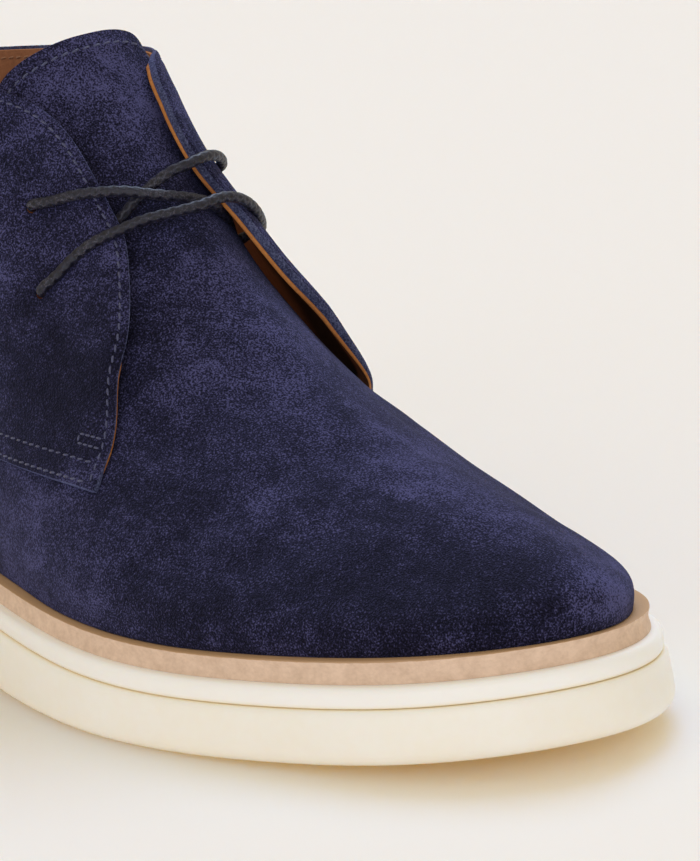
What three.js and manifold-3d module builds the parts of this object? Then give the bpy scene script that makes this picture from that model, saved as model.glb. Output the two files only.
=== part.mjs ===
// Chukka boot, right foot: two quarters over a vamp with an integral tongue, on a two tier sole.
// Millimetres, +Z up, +X towards the toe, -Y the lateral side. Heights are built up from the floor
// and the finished set is moved so that the origin is the middle of the sole's footprint.
import * as THREE from 'three';
import { mergeVertices } from 'three/addons/utils/BufferGeometryUtils.js';
import Module from 'manifold-3d';

const wasm = await Module();
wasm.setup();

// ---------------------------------------------------------------- driving sizes
const GAP = 0.3;                    // air left between neighbouring pieces
const FORM_WALL = 2.0;              // vamp suede with its lining
const QUARTER_WALL = 1.7;           // one layer of suede
const AROUND = 84;                  // points around every loop

const SOLE_LENGTH = 302;
const SOLE_STATIONS = [0, 0.035, 0.17, 0.395, 0.635, 0.835, 0.955, 1];  // shares of the length
const SOLE_OUTLINE = {
  lateral: { heelCorner: 22, heelSide: 39.1, waist: 43.6, ball: 64.6, toeSide: 47.8, toeCorner: 33.2 },
  medial: { heelCorner: 22, heelSide: 39, waist: 38, ball: 54, toeSide: 49.8, toeCorner: 33.9 },
  tip: 3.2,                         // the toe's middle leans this far to the medial side
};
const TOE_SPRING = { start: 197, lift: 6.5 };
const ARCH = { start: 84, end: 158, lift: 2.6 };
const OUTSOLE = { heelHeight: 15.9, foreHeight: 11.7, thinFrom: 75, thinTo: 225 };
const MIDSOLE_HEIGHT = 4.8;
const WELT_HEIGHT = 4.7;

// Each row is one ring of a sole layer: inset from the outline, share of the layer's height, extra lift.
const ring = (inset, share, lift) => ({ inset, share, lift });
const OUTSOLE_RINGS = [
  ring(2.4, 0, 0), ring(0.7, 0, 0.7), ring(0, 0, 2.6), ring(0.5, 0.5, 0), ring(1.6, 1, -0.8), ring(2.6, 1, 0),
];
const MIDSOLE_RINGS = [
  ring(3.0, 0, GAP), ring(1.9, 0, 1.1), ring(1.8, 0.5, 0.2), ring(2.3, 1, -1.1), ring(4.0, 1, 0),
];
const WELT_RINGS = [
  ring(4.4, 0, GAP), ring(4.6, 0.3, 0), ring(4.7, 0.6, 0), ring(4.3, 1, -0.5), ring(4.6, 1, 0),
];
const LUGS = { rim: 9, depth: 2.5, groove: 3.2, pitch: 11, heelEnd: 76, foreStart: 164 };

// Each row is one loop of the last, heel to toe: x and rise above the welt at the back and the front,
// then the half widths of each side.
const sides = (heel, waist, ball, toe, corner) => ({ heel, waist, ball, toe, corner });
const loop = (name, back, backRise, front, frontRise, lateral, medial, tip) =>
  ({ name, back, backRise, front, frontRise, lateral, medial, tip });
const HEEL_CORNER = 0.55;           // share of the heel's half width at the loop's back corner
const FORM_LOOPS = [
  loop('feather', 7.0, GAP, 295.5, GAP, sides(32.0, 36.5, 57.8, 41.5, 26.5), sides(32.0, 31.5, 47.0, 43.0, 27.0), 3),
  loop('wall', 5.0, 9, 296.3, 6, sides(33.5, 38.0, 58.6, 42.5, 27.0), sides(33.5, 33.0, 48.5, 44.5, 28.0), 3),
  loop('bulge', 4.0, 20, 293.5, 11, sides(33.5, 37.5, 56.5, 36.5, 20.0), sides(33.5, 33.5, 47.5, 38.5, 20.0), 3),
  loop('toeTop', 5.0, 31, 281, 17.7, sides(32.0, 36.5, 51.5, 32.5, 14.5), sides(32.0, 33.5, 45.0, 34.0, 15.5), 3),
  loop('vampLow', 7.0, 43, 253, 27.6, sides(30.5, 35.0, 43.5, 31.0, 13.5), sides(30.5, 33.0, 40.5, 30.5, 13.5), 2.5),
  loop('vampHigh', 10.0, 55, 223, 38, sides(29.5, 34.5, 38.5, 29.5, 13.5), sides(29.5, 33.0, 36.5, 28.5, 13.0), 2),
  loop('throat', 12.0, 67, 196, 52, sides(28.5, 34.0, 36.0, 28.0, 13.5), sides(28.5, 33.0, 34.5, 26.5, 12.6), 1.5),
  loop('instep', 13.0, 78, 175, 68, sides(28.0, 34.0, 35.0, 26.5, 13.5), sides(28.0, 33.0, 33.5, 24.5, 11.8), 1),
  loop('ankle', 13.0, 88, 159, 84.5, sides(27.5, 34.0, 34.5, 26.0, 13.5), sides(27.5, 33.5, 33.0, 23.0, 11.2), 0.5),
  loop('shaft', 13.0, 98, 146, 100, sides(27.5, 34.5, 35.0, 26.0, 14.0), sides(27.5, 34.0, 33.5, 22.5, 10.8), 0),
  loop('collar', 12.0, 108, 135.5, 115, sides(27.5, 35.0, 35.5, 26.5, 14.5), sides(27.5, 35.0, 34.0, 23.0, 11.0), 0),
  loop('above', 11.0, 118, 128.0, 130, sides(27.5, 35.5, 36.0, 27.0, 15.0), sides(27.5, 35.5, 34.5, 23.5, 11.5), 0),
];

// Edges of the panels on the last. Each point is [around, row]: the share of a whole lap from the back
// seam, counted on the panel's own side, and the row of the table above.
const PANELS = {
  lateral: {
    hem: [[0, 2.35], [0.1, 2.55], [0.2, 3.05], [0.256, 3.3], [0.286, 3.4], [0.301, 3.4]],
    facing: [[0.301, 3.4], [0.312, 3.9], [0.331, 4.6], [0.355, 5.4], [0.384, 6.1], [0.408, 6.8], [0.4215, 7.3],
      [0.4235, 7.7], [0.4235, 8.1], [0.422, 8.5], [0.417, 8.8], [0.409, 9.02], [0.398, 9.18], [0.385, 9.3]],
    collar: [[0, 9.2], [0.1, 9.25], [0.2, 9.35], [0.3, 9.43], [0.35, 9.42], [0.385, 9.3]],
  },
  medial: {
    hem: [[0, 2.35], [0.1, 2.55], [0.2, 3.05], [0.25, 3.3], [0.268, 3.38], [0.282, 3.4]],
    facing: [[0.282, 3.4], [0.301, 3.9], [0.33, 4.6], [0.361, 5.4], [0.392, 6.0], [0.414, 6.4], [0.434, 6.9],
      [0.452, 7.3], [0.47, 7.7], [0.48, 8.1], [0.481, 8.6], [0.477, 9.0], [0.469, 9.3], [0.455, 9.52]],
    collar: [[0, 9.2], [0.1, 9.25], [0.2, 9.35], [0.3, 9.46], [0.38, 9.58], [0.43, 9.6], [0.455, 9.52]],
  },
};
// How far the facing edge stands off the tongue: [share of the facing from the hem, height].
const FLARE = {
  lateral: [[0, 0], [0.12, 0], [0.45, 2.6], [0.8, 2.6], [1, 1.6]],
  medial: [[0, 0], [0.12, 0], [0.4, 3.5], [0.6, 4.1], [0.8, 4.1], [0.9, 4.0], [1, 2.2]],
};
const FLARE_REACH = 0.12;           // share of the quarter's length over which it rises
const LAP_ROWS = 30;                // one lap of the last is about thirty rows long
const SEAM = 0.0006;                // half the gap between the quarters at the back, in laps
// Edges of the slot the tongue fills, hidden under the quarters: [row, lap on its own side].
const SLOT = {
  lateral: [[5.4, 0.339], [6.1, 0.368], [6.8, 0.392], [7.3, 0.405], [8.1, 0.4075], [8.6, 0.404], [9.0, 0.39],
    [9.4, 0.374], [11, 0.36]],
  medial: [[5.4, 0.345], [6.0, 0.376], [6.4, 0.398], [6.9, 0.418], [7.3, 0.436], [7.7, 0.453], [8.1, 0.462],
    [8.6, 0.46], [9.0, 0.45], [9.4, 0.437], [11, 0.42]],
};
const COLLAR_DROP = 0.25;           // and this far below the collar, in rows
const THROAT_ROOT = 5.4;            // row of the tongue's root across the vamp
const TONGUE_TOP = [[0.375, 9.4], [0.39, 9.62], [0.411, 9.82], [0.44, 10.0], [0.47, 10.1], [0.506, 10.13],
  [0.532, 10.02], [0.549, 9.8], [0.562, 9.4]];
const TONGUE_GAP = { around: 0.0013, row: 0.03 };

const EYELET_RADIUS = 1.75;
const EYELETS = [
  { side: 'lateral', around: 0.339, row: 6.5 },
  { side: 'lateral', around: 0.363, row: 7.7 },
  { side: 'medial', around: 0.37, row: 6.92 },
  { side: 'medial', around: 0.415, row: 7.9 },
];

// Lace strands over the throat: lap, row and height of the cord's middle over the last.
const LACE_RADIUS = 1.3;
const STRANDS = {
  lower: [[0.339, 6.5, 4.2], [0.358, 6.76, 4.0], [0.378, 7.03, 4.2], [0.398, 7.22, 5.3], [0.4215, 7.35, 6.3],
    [0.444, 7.45, 6.8], [0.469, 7.5, 7.2], [0.49, 7.52, 7.7], [0.509, 7.55, 8.1], [0.527, 7.51, 8.4],
    [0.551, 7.39, 8.0], [0.581, 7.19, 6.5], [0.613, 6.99, 4.7], [0.63, 6.92, 4.2]],
  upper: [[0.363, 7.7, 4.2], [0.381, 7.76, 4.4], [0.402, 7.83, 5.5], [0.422, 7.84, 6.3], [0.441, 7.83, 6.4],
    [0.459, 7.78, 6.0], [0.479, 7.7, 5.7], [0.498, 7.6, 6.3]],
  return: [[0.585, 7.9, 4.7], [0.572, 7.94, 6.0], [0.546, 8.03, 7.6], [0.525, 8.06, 8.3], [0.509, 8.04, 8.3],
    [0.497, 8.02, 7.4], [0.487, 8.02, 6.4], [0.473, 7.97, 5.4], [0.458, 7.88, 4.9]],
};

// ---------------------------------------------------------------- curves
const mix = (a, b, t) => a + (b - a) * t;
const clamp01 = (t) => Math.min(1, Math.max(0, t));
const smooth = (t) => { const c = clamp01(t); return c * c * (3 - 2 * c); };

/** The four weights of a uniform cubic B-spline. */
const splineWeights = (f) => [
  (1 - f) ** 3 / 6, (3 * f ** 3 - 6 * f ** 2 + 4) / 6, (-3 * f ** 3 + 3 * f ** 2 + 3 * f + 1) / 6, f ** 3 / 6,
];

/** Point of a closed B-spline over its control points; u runs once around in 0 to 1. */
function closedSpline(controls, u) {
  const n = controls.length;
  const t = (((u % 1) + 1) % 1) * n;
  const first = Math.floor(t);
  const point = new THREE.Vector3();
  splineWeights(t - first).forEach((w, k) => point.addScaledVector(controls[(first + k - 1 + n) % n], w));
  return point;
}

/** End controls that make a closed spline reach exactly 0 and 1 along its length. */
function stationShares() {
  const s = [...SOLE_STATIONS];
  s[0] = -s[1] / 2;
  s[7] = (6 - 2 * s[6]) / 4;
  return s;
}
const SHARES = stationShares();

/** Fourteen controls: back middle, six lateral, toe tip, six medial. */
function loopControls(at, lateral, medial, tip) {
  const half = (side, sign) => side.map((width, k) => at(SHARES[k + 1], sign * width));
  return [at(SHARES[0], 0), ...half(lateral, -1), at(SHARES[7], tip), ...half(medial, 1).reverse()];
}

const SOLE_CONTROLS = loopControls(
  (share, y) => new THREE.Vector3(share * SOLE_LENGTH, y, 0),
  Object.values(SOLE_OUTLINE.lateral), Object.values(SOLE_OUTLINE.medial), SOLE_OUTLINE.tip,
);

/** The sole's outline moved inwards by a distance along its own normal. */
function soleOutline(inset) {
  return Array.from({ length: AROUND }, (_, k) => {
    const step = 0.5 / AROUND;
    const along = closedSpline(SOLE_CONTROLS, k / AROUND + step).sub(closedSpline(SOLE_CONTROLS, k / AROUND - step));
    const inward = new THREE.Vector3(-along.y, along.x, 0).normalize();
    return closedSpline(SOLE_CONTROLS, k / AROUND).addScaledVector(inward, inset);
  });
}

// ---------------------------------------------------------------- heights along the foot
const groundLine = (x) => {
  const spring = TOE_SPRING.lift * Math.max(0, (x - TOE_SPRING.start) / (SOLE_LENGTH - TOE_SPRING.start)) ** 2;
  const across = clamp01((x - ARCH.start) / (ARCH.end - ARCH.start));
  return spring + ARCH.lift * Math.sin(Math.PI * across) ** 2;
};
const springLine = (x) => (x > TOE_SPRING.start ? groundLine(x) : 0);
const outsoleTop = (x) => springLine(x) + mix(OUTSOLE.heelHeight, OUTSOLE.foreHeight,
  smooth((x - OUTSOLE.thinFrom) / (OUTSOLE.thinTo - OUTSOLE.thinFrom)));
const midsoleTop = (x) => outsoleTop(x) + MIDSOLE_HEIGHT;
const weltTop = (x) => midsoleTop(x) + WELT_HEIGHT;

// ---------------------------------------------------------------- the last
const formNet = FORM_LOOPS.map((row) => {
  const at = (share, y) => {
    const x = mix(row.back, row.front, share);
    return new THREE.Vector3(x, y, mix(row.backRise, row.frontRise, share));
  };
  const widths = (side) => [side.heel * HEEL_CORNER, ...Object.values(side)];
  return loopControls(at, widths(row.lateral), widths(row.medial), row.tip);
});
const mirrorRow = (edge, next) => edge.map((p, k) => p.clone().multiplyScalar(2).sub(next[k]));
formNet.unshift(mirrorRow(formNet[0], formNet[1]));
formNet.push(mirrorRow(formNet.at(-1), formNet.at(-2)));

/** Outer surface of the last: u around from the back seam by the lateral side, row up from the feather. */
const TOP_ROW = FORM_LOOPS.length - 1;
function formPoint(u, row) {
  const first = Math.min(Math.max(Math.floor(row), 0), TOP_ROW - 1);
  const point = new THREE.Vector3();
  splineWeights(row - first).forEach((w, k) => point.addScaledVector(closedSpline(formNet[first + k], u), w));
  return point.setZ(point.z + weltTop(point.x));
}

/** Outward normal of the last. */
function formNormal(u, row) {
  const step = { u: 0.002, row: 0.02 };
  const around = formPoint(u + step.u, row).sub(formPoint(u - step.u, row));
  const up = formPoint(u, Math.min(TOP_ROW, row + step.row)).sub(formPoint(u, Math.max(0, row - step.row)));
  return around.cross(up).normalize();
}

/** Point over the last at a height along its normal. */
const onForm = (u, row, height) => formPoint(u, row).addScaledVector(formNormal(u, row), height);

// ---------------------------------------------------------------- solids
/** Indexed geometry from a list of vectors and triangles. */
function indexed(points, triangles) {
  const geometry = new THREE.BufferGeometry();
  geometry.setAttribute('position', new THREE.Float32BufferAttribute(points.flatMap((p) => [p.x, p.y, p.z]), 3));
  geometry.setIndex(triangles);
  return geometry;
}

/** Side faces between consecutive loops that all have the same number of points. */
function bandTriangles(loops, count) {
  const triangles = [];
  for (let row = 0; row < loops - 1; row += 1) {
    for (let k = 0; k < count; k += 1) {
      const a = row * count + k;
      const b = row * count + ((k + 1) % count);
      triangles.push(a, b, b + count, a, b + count, a + count);
    }
  }
  return triangles;
}

/** Closed body from stacked loops with a flat strip across its first and last loop. */
function stackedSolid(loops) {
  const count = loops[0].length;
  const triangles = bandTriangles(loops.length, count);
  const top = (loops.length - 1) * count;
  const cap = (start, up) => {
    for (let k = 0; k < count / 2; k += 1) {
      const [a, b] = [k, k + 1];
      const [c, d] = [(count - k - 1) % count, (count - k) % count];
      const faces = up ? [a, b, c, a, c, d] : [a, c, b, a, d, c];
      for (let f = 0; f < 6; f += 3) {
        const corners = faces.slice(f, f + 3);
        if (new Set(corners).size === 3) triangles.push(...corners.map((i) => start + i));
      }
    }
  };
  cap(0, false);
  cap(top, true);
  return indexed(loops.flat(), triangles);
}

/** Closed tube wall: the outer loops upwards, then the inner ones back down. */
function shellSolid(outer, inner) {
  const loops = [...outer, ...[...inner].reverse(), outer[0]];
  const count = outer[0].length;
  const triangles = bandTriangles(loops.length, count);
  const last = (loops.length - 1) * count;
  return indexed(loops.slice(0, -1).flat(), triangles.map((i) => (i >= last ? i - last : i)));
}

/** Wall of the last between two offsets, from the feather up to a row that may change around. */
function formShell(inner, outer, topRow, rows) {
  const wall = (offset) => Array.from({ length: rows }, (_, j) => Array.from({ length: AROUND }, (_unused, k) => {
    const u = k / AROUND;
    return onForm(u, (topRow(Math.min(u, 1 - u), u > 0.5) * j) / (rows - 1), offset);
  }));
  return shellSolid(wall(outer), wall(inner));
}

/** Smooth run through [around, row] points, evenly spaced along its length in 0 to 1. */
function run(points) {
  const curve = new THREE.SplineCurve(points.map(([around, row]) => new THREE.Vector2(around * LAP_ROWS, row)));
  return (t) => { const p = curve.getPointAt(t); return new THREE.Vector2(p.x / LAP_ROWS, p.y); };
}

/** Slab over a four sided patch of the last; offsets are functions of the place inside the patch. */
function patchSolid({ left, right, bottom, top }, side, [columns, rows], inner, outer) {
  const place = (s, t) => {
    const across = bottom(s).multiplyScalar(1 - t).add(top(s).multiplyScalar(t));
    const along = left(t).multiplyScalar(1 - s).add(right(t).multiplyScalar(s));
    const corners = bottom(0).multiplyScalar((1 - s) * (1 - t)).add(bottom(1).multiplyScalar(s * (1 - t)))
      .add(top(0).multiplyScalar((1 - s) * t)).add(top(1).multiplyScalar(s * t));
    return across.add(along).sub(corners);
  };
  const points = [inner, outer].flatMap((offset) => Array.from({ length: rows + 1 }, (_, j) => (
    Array.from({ length: columns + 1 }, (_unused, i) => {
      const [s, t] = [i / columns, j / rows];
      const { x, y } = place(s, t);
      return onForm(side === 'medial' ? 1 - x : x, y, offset(s, t));
    })
  ))).flat();
  const wide = columns + 1;
  const layer = wide * (rows + 1);
  const triangles = [];
  const quad = (a, b, c, d) => triangles.push(a, b, c, a, c, d);
  for (let j = 0; j < rows; j += 1) {
    for (let i = 0; i < columns; i += 1) {
      const a = j * wide + i;
      quad(a, a + wide, a + wide + 1, a + 1);
      quad(layer + a, layer + a + 1, layer + a + wide + 1, layer + a + wide);
    }
    quad(j * wide, layer + j * wide, layer + (j + 1) * wide, (j + 1) * wide);
    quad((j + 1) * wide + columns, layer + (j + 1) * wide + columns, layer + j * wide + columns, j * wide + columns);
  }
  for (let i = 0; i < columns; i += 1) {
    const up = rows * wide + i;
    quad(i + 1, layer + i + 1, layer + i, i);
    quad(up, layer + up, layer + up + 1, up + 1);
  }
  return indexed(points, triangles);
}

/** Tube of round section along a path of vectors, closed at both ends. */
function cordSolid(path, radius) {
  const facets = 10;
  const curve = new THREE.CatmullRomCurve3(path);
  const steps = 22;
  const frames = curve.computeFrenetFrames(steps, false);
  const loops = Array.from({ length: steps + 1 }, (_, row) => Array.from({ length: facets }, (_unused, k) => {
    const angle = (2 * Math.PI * k) / facets;
    return curve.getPointAt(row / steps)
      .addScaledVector(frames.normals[row], radius * Math.cos(angle))
      .addScaledVector(frames.binormals[row], radius * Math.sin(angle));
  }));
  return stackedSolid(loops);
}

// ---------------------------------------------------------------- joins and cuts
/** Manifold body of a geometry; one wound inside out is turned. */
function body(geometry) {
  const bare = geometry.clone();
  bare.deleteAttribute('normal');
  bare.deleteAttribute('uv');
  const merged = mergeVertices(bare, 1e-5);
  const make = (index) => new wasm.Manifold(new wasm.Mesh({
    numProp: 3,
    vertProperties: new Float32Array(merged.attributes.position.array),
    triVerts: new Uint32Array(index),
  }));
  const index = [...merged.index.array];
  const solid = make(index);
  return solid.volume() > 0 ? solid : make(index.reverse());
}

/** Geometry of a manifold body. */
function geometryOf(solid) {
  const mesh = solid.getMesh();
  const geometry = new THREE.BufferGeometry();
  geometry.setAttribute('position', new THREE.BufferAttribute(new Float32Array(mesh.vertProperties), 3));
  geometry.setIndex([...mesh.triVerts]);
  return geometry;
}

// ---------------------------------------------------------------- sole
/** Solid of one sole layer between two height lines. */
function soleLayer(rings, lower, upper) {
  return stackedSolid(rings.map(({ inset, share, lift }) => soleOutline(inset).map((p) => (
    p.setZ(mix(lower(p.x), upper(p.x), share) + lift)
  ))));
}

/** Bars across the sole, clipped to the tread inside its plain rim. */
function treadGrooves() {
  const treadArea = body(stackedSolid([-1, LUGS.depth].map((lift) => (
    soleOutline(LUGS.rim).map((p) => p.setZ(groundLine(p.x) + lift))
  ))));
  const bars = [];
  for (let x = LUGS.pitch * 1.5; x < SOLE_LENGTH - LUGS.rim; x += LUGS.pitch) {
    if (x > LUGS.heelEnd && x < LUGS.foreStart) continue;
    const bar = new THREE.BoxGeometry(LUGS.groove, SOLE_LENGTH, SOLE_LENGTH);
    bars.push(body(bar.translate(x, 0, 0)));
  }
  return treadArea.intersect(wasm.Manifold.union(bars));
}

const outsole = body(soleLayer(OUTSOLE_RINGS, groundLine, outsoleTop)).subtract(treadGrooves());
const midsole = body(soleLayer(MIDSOLE_RINGS, outsoleTop, midsoleTop));
const welt = body(soleLayer(WELT_RINGS, midsoleTop, weltTop));

// ---------------------------------------------------------------- insole
const INSOLE = { height: 4, topRow: 0.5 };    // the last's row at the insole's upper face
const insole = body(stackedSolid([0, INSOLE.topRow].map((row, level) => (
  Array.from({ length: AROUND }, (_, k) => {
    const edge = onForm(k / AROUND, row, -FORM_WALL - 2 * GAP);
    return edge.setZ(weltTop(edge.x) + GAP + level * INSOLE.height);
  })
))));

// ---------------------------------------------------------------- upper, tongue and quarters
/** Second column of a table at a value of its first, level past its ends. */
function valueAt(table, key) {
  const next = table.findIndex(([k]) => k > key);
  if (next <= 0) return table.at(next)[1];
  const [[k0, v0], [k1, v1]] = [table[next - 1], table[next]];
  return mix(v0, v1, (key - k0) / (k1 - k0));
}

/** Edges of the throat's slot at its two sides, drawn in by a margin; both are laps by the lateral side. */
const slotEdges = (margin) => ({
  lateral: (row) => valueAt(SLOT.lateral, row) + margin,
  medial: (row) => 1 - valueAt(SLOT.medial, row) - margin,
});

/** Patch between the slot's edges from the root up to a top run. */
function slotPatch(margin, rootRow, top) {
  const edges = slotEdges(margin);
  const rise = (edge, end) => (t) => {
    const row = mix(rootRow, end, t);
    return new THREE.Vector2(edge(row), row);
  };
  const left = rise(edges.lateral, top(0).y);
  const right = rise(edges.medial, top(1).y);
  const [start, finish] = [left(1).x, right(1).x];
  return {
    left,
    right,
    bottom: (s) => new THREE.Vector2(mix(left(0).x, right(0).x, s), rootRow),
    top: (s) => { const p = top(s); return p.setX(mix(start, finish, (p.x - top(0).x) / (top(1).x - top(0).x))); },
  };
}

const constant = (height) => () => height;
const above = run([[0.36, TOP_ROW], [0.57, TOP_ROW]]);
const throat = body(patchSolid(slotPatch(0, THROAT_ROOT, above), 'lateral', [16, 36],
  constant(-FORM_WALL - 1), constant(1)));
const punches = wasm.Manifold.union(EYELETS.map(({ side, around, row }) => {
  const u = side === 'medial' ? 1 - around : around;
  const punch = new THREE.CylinderGeometry(EYELET_RADIUS, EYELET_RADIUS, 20, 18);
  const turn = new THREE.Quaternion().setFromUnitVectors(new THREE.Vector3(0, 1, 0), formNormal(u, row));
  const centre = formPoint(u, row);
  return body(punch.applyQuaternion(turn).translate(centre.x, centre.y, centre.z));
}));

const liningTop = (around, medial) => valueAt(PANELS[medial ? 'medial' : 'lateral'].collar, around) - COLLAR_DROP;
const form = body(formShell(-FORM_WALL, 0, liningTop, 22));
const upper = form.subtract(throat).subtract(punches);
const tonguePatch = slotPatch(TONGUE_GAP.around, THROAT_ROOT + TONGUE_GAP.row, run(TONGUE_TOP));
const tongue = body(patchSolid(tonguePatch, 'lateral', [16, 24], constant(-FORM_WALL), constant(0)));

/** One quarter over the last; its facing edge stands off the tongue. */
function quarter(side) {
  const { hem, facing, collar } = PANELS[side];
  const seam = [[SEAM, hem[0][1]], [SEAM, collar[0][1]]];
  const fromSeam = (points) => [[SEAM, points[0][1]], ...points.slice(1)];
  const edges = { left: run(seam), right: run(facing), bottom: run(fromSeam(hem)), top: run(fromSeam(collar)) };
  const flare = (s, t) => smooth((s - 1 + FLARE_REACH) / FLARE_REACH) * valueAt(FLARE[side], t);
  const layer = (height) => (s, t) => GAP + height + flare(s, t);
  return body(patchSolid(edges, side, [40, 20], layer(0), layer(QUARTER_WALL))).subtract(punches);
}
const quarterLateral = quarter('lateral');
const quarterMedial = quarter('medial');

// ---------------------------------------------------------------- lace
const lace = wasm.Manifold.union(Object.values(STRANDS).map((points) => (
  body(cordSolid(points.map(([lap, row, height]) => onForm(lap, row, height)), LACE_RADIUS))
)));

// ---------------------------------------------------------------- assembly
const FINISHES = {
  suede: { color: 0x2b3348, roughness: 0.95 },
  cream: { color: 0xf1e8d7, roughness: 0.55 },
  tan: { color: 0xd3b79b, roughness: 0.7 },
  lining: { color: 0xb9783f, roughness: 0.65 },
  cord: { color: 0x33323a, roughness: 0.5 },
};
const PIECES = [
  ['outsole', outsole, 'cream'],
  ['midsole', midsole, 'cream'],
  ['welt', welt, 'tan'],
  ['insole', insole, 'lining'],
  ['upper', upper, 'suede'],
  ['tongue', tongue, 'suede'],
  ['quarter_lateral', quarterLateral, 'suede'],
  ['quarter_medial', quarterMedial, 'suede'],
  ['lace', lace, 'cord'],
];
const group = new THREE.Group();
group.name = 'chukka_boot';
const footprint = new THREE.Box3().setFromBufferAttribute(geometryOf(outsole).attributes.position);
const middle = footprint.getCenter(new THREE.Vector3());
for (const [name, solid, finish] of PIECES) {
  const geometry = geometryOf(solid).translate(-middle.x, -middle.y, -footprint.min.z);
  const mesh = new THREE.Mesh(geometry, new THREE.MeshStandardMaterial(FINISHES[finish]));
  mesh.name = name;
  group.add(mesh);
}

export default group;
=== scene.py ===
"""Looks of a navy suede chukka boot for the right foot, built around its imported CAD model.

Sizes of the form are in millimetres, as on a maker's drawing; meshes are in metres in the CAD frame:
+X towards the toe, -Y the lateral side, +Z up, with the origin in the middle of the sole's footprint.
"""

import logging
import math
from dataclasses import dataclass, field
from enum import Enum
from typing import Callable, Sequence

import bpy
import numpy as np
from mathutils import Matrix, Vector

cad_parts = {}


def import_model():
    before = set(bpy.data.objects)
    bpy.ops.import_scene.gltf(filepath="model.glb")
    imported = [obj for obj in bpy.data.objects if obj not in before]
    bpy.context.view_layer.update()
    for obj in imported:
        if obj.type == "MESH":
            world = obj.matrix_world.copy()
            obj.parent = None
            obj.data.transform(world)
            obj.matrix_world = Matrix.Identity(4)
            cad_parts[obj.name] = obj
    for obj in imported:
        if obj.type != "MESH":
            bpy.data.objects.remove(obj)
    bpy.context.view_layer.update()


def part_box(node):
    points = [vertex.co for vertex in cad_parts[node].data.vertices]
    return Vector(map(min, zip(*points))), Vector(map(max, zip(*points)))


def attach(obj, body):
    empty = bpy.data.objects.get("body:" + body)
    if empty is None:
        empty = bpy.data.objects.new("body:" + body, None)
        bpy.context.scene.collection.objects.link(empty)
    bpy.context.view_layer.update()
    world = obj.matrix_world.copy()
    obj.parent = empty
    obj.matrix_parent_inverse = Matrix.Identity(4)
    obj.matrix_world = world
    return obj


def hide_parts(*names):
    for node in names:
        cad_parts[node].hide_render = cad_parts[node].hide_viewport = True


LOG = logging.getLogger("chukka")
MM = 0.001
Array = np.ndarray
Colour = tuple[float, float, float]
Table = Sequence[Sequence[float]]
# One lap of the last is about as long as this many of its rows.
LAP = 30
LAP_SCALE = (LAP, 1)
# Faces that meet more steeply than this keep a sharp edge.
SHARP_ANGLE = math.radians(48)


class Side(Enum):
    """The two sides of the boot."""

    LATERAL = "lateral"
    MEDIAL = "medial"


# ---------------------------------------------------------------------------------------------- curves


def smooth(t: Array) -> Array:
    """Eases a share from 0 to 1, level past both ends."""
    c = np.clip(t, 0.0, 1.0)
    return c * c * (3.0 - 2.0 * c)


def mix(a: Array, b: Array, t: Array) -> Array:
    """Blends two values by a share."""
    return a + (b - a) * t


def bump(distance: Array, width: float) -> Array:
    """A bell of height 1 over a distance."""
    return np.exp(-((distance / width) ** 2))


def spline_weights(f: Array) -> list[Array]:
    """The four weights of a uniform cubic B-spline at a share of its span."""
    return [
        (1 - f) ** 3 / 6,
        (3 * f**3 - 6 * f**2 + 4) / 6,
        (-3 * f**3 + 3 * f**2 + 3 * f + 1) / 6,
        f**3 / 6,
    ]


def value_at(table: Table, key: Array) -> Array:
    """Second column of a table at values of its first, level past its ends."""
    columns = np.asarray(table, dtype=float)
    return np.interp(key, columns[:, 0], columns[:, 1])


def smooth_run(points: Table, scale: Sequence[float], samples: int = 600) -> Callable[[Array], Array]:
    """Smooth curve through points, evenly spaced along its length.

    Args:
        points: The curve's points, one row each.
        scale: Weight of each column when the length is measured.
        samples: Steps of the length table.

    Returns:
        A function from a share of the length, 0 to 1, to points.
    """
    knots = np.asarray(points, dtype=float)
    padded = np.vstack([knots[:1], knots, knots[-1:]])
    spans = len(knots) - 1

    def raw(t: Array) -> Array:
        """Points by the count of knots passed."""
        first = np.clip(np.floor(t).astype(int), 0, spans - 1)
        f = (t - first)[..., None]
        p0, p1, p2, p3 = (padded[first + k] for k in range(4))
        return 0.5 * (
            2 * p1 + (p2 - p0) * f + (2 * p0 - 5 * p1 + 4 * p2 - p3) * f**2
            + (3 * p1 - p0 - 3 * p2 + p3) * f**3
        )

    steps = np.linspace(0, spans, samples)
    line = raw(steps) * np.asarray(scale)
    length = np.concatenate([[0.0], np.cumsum(np.linalg.norm(np.diff(line, axis=0), axis=1))])

    def at(share: Array) -> Array:
        """Points by the share of the length."""
        return raw(np.interp(np.clip(share, 0, 1) * length[-1], length, steps))

    return at


# ---------------------------------------------------------------------------------------------- meshes


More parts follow.
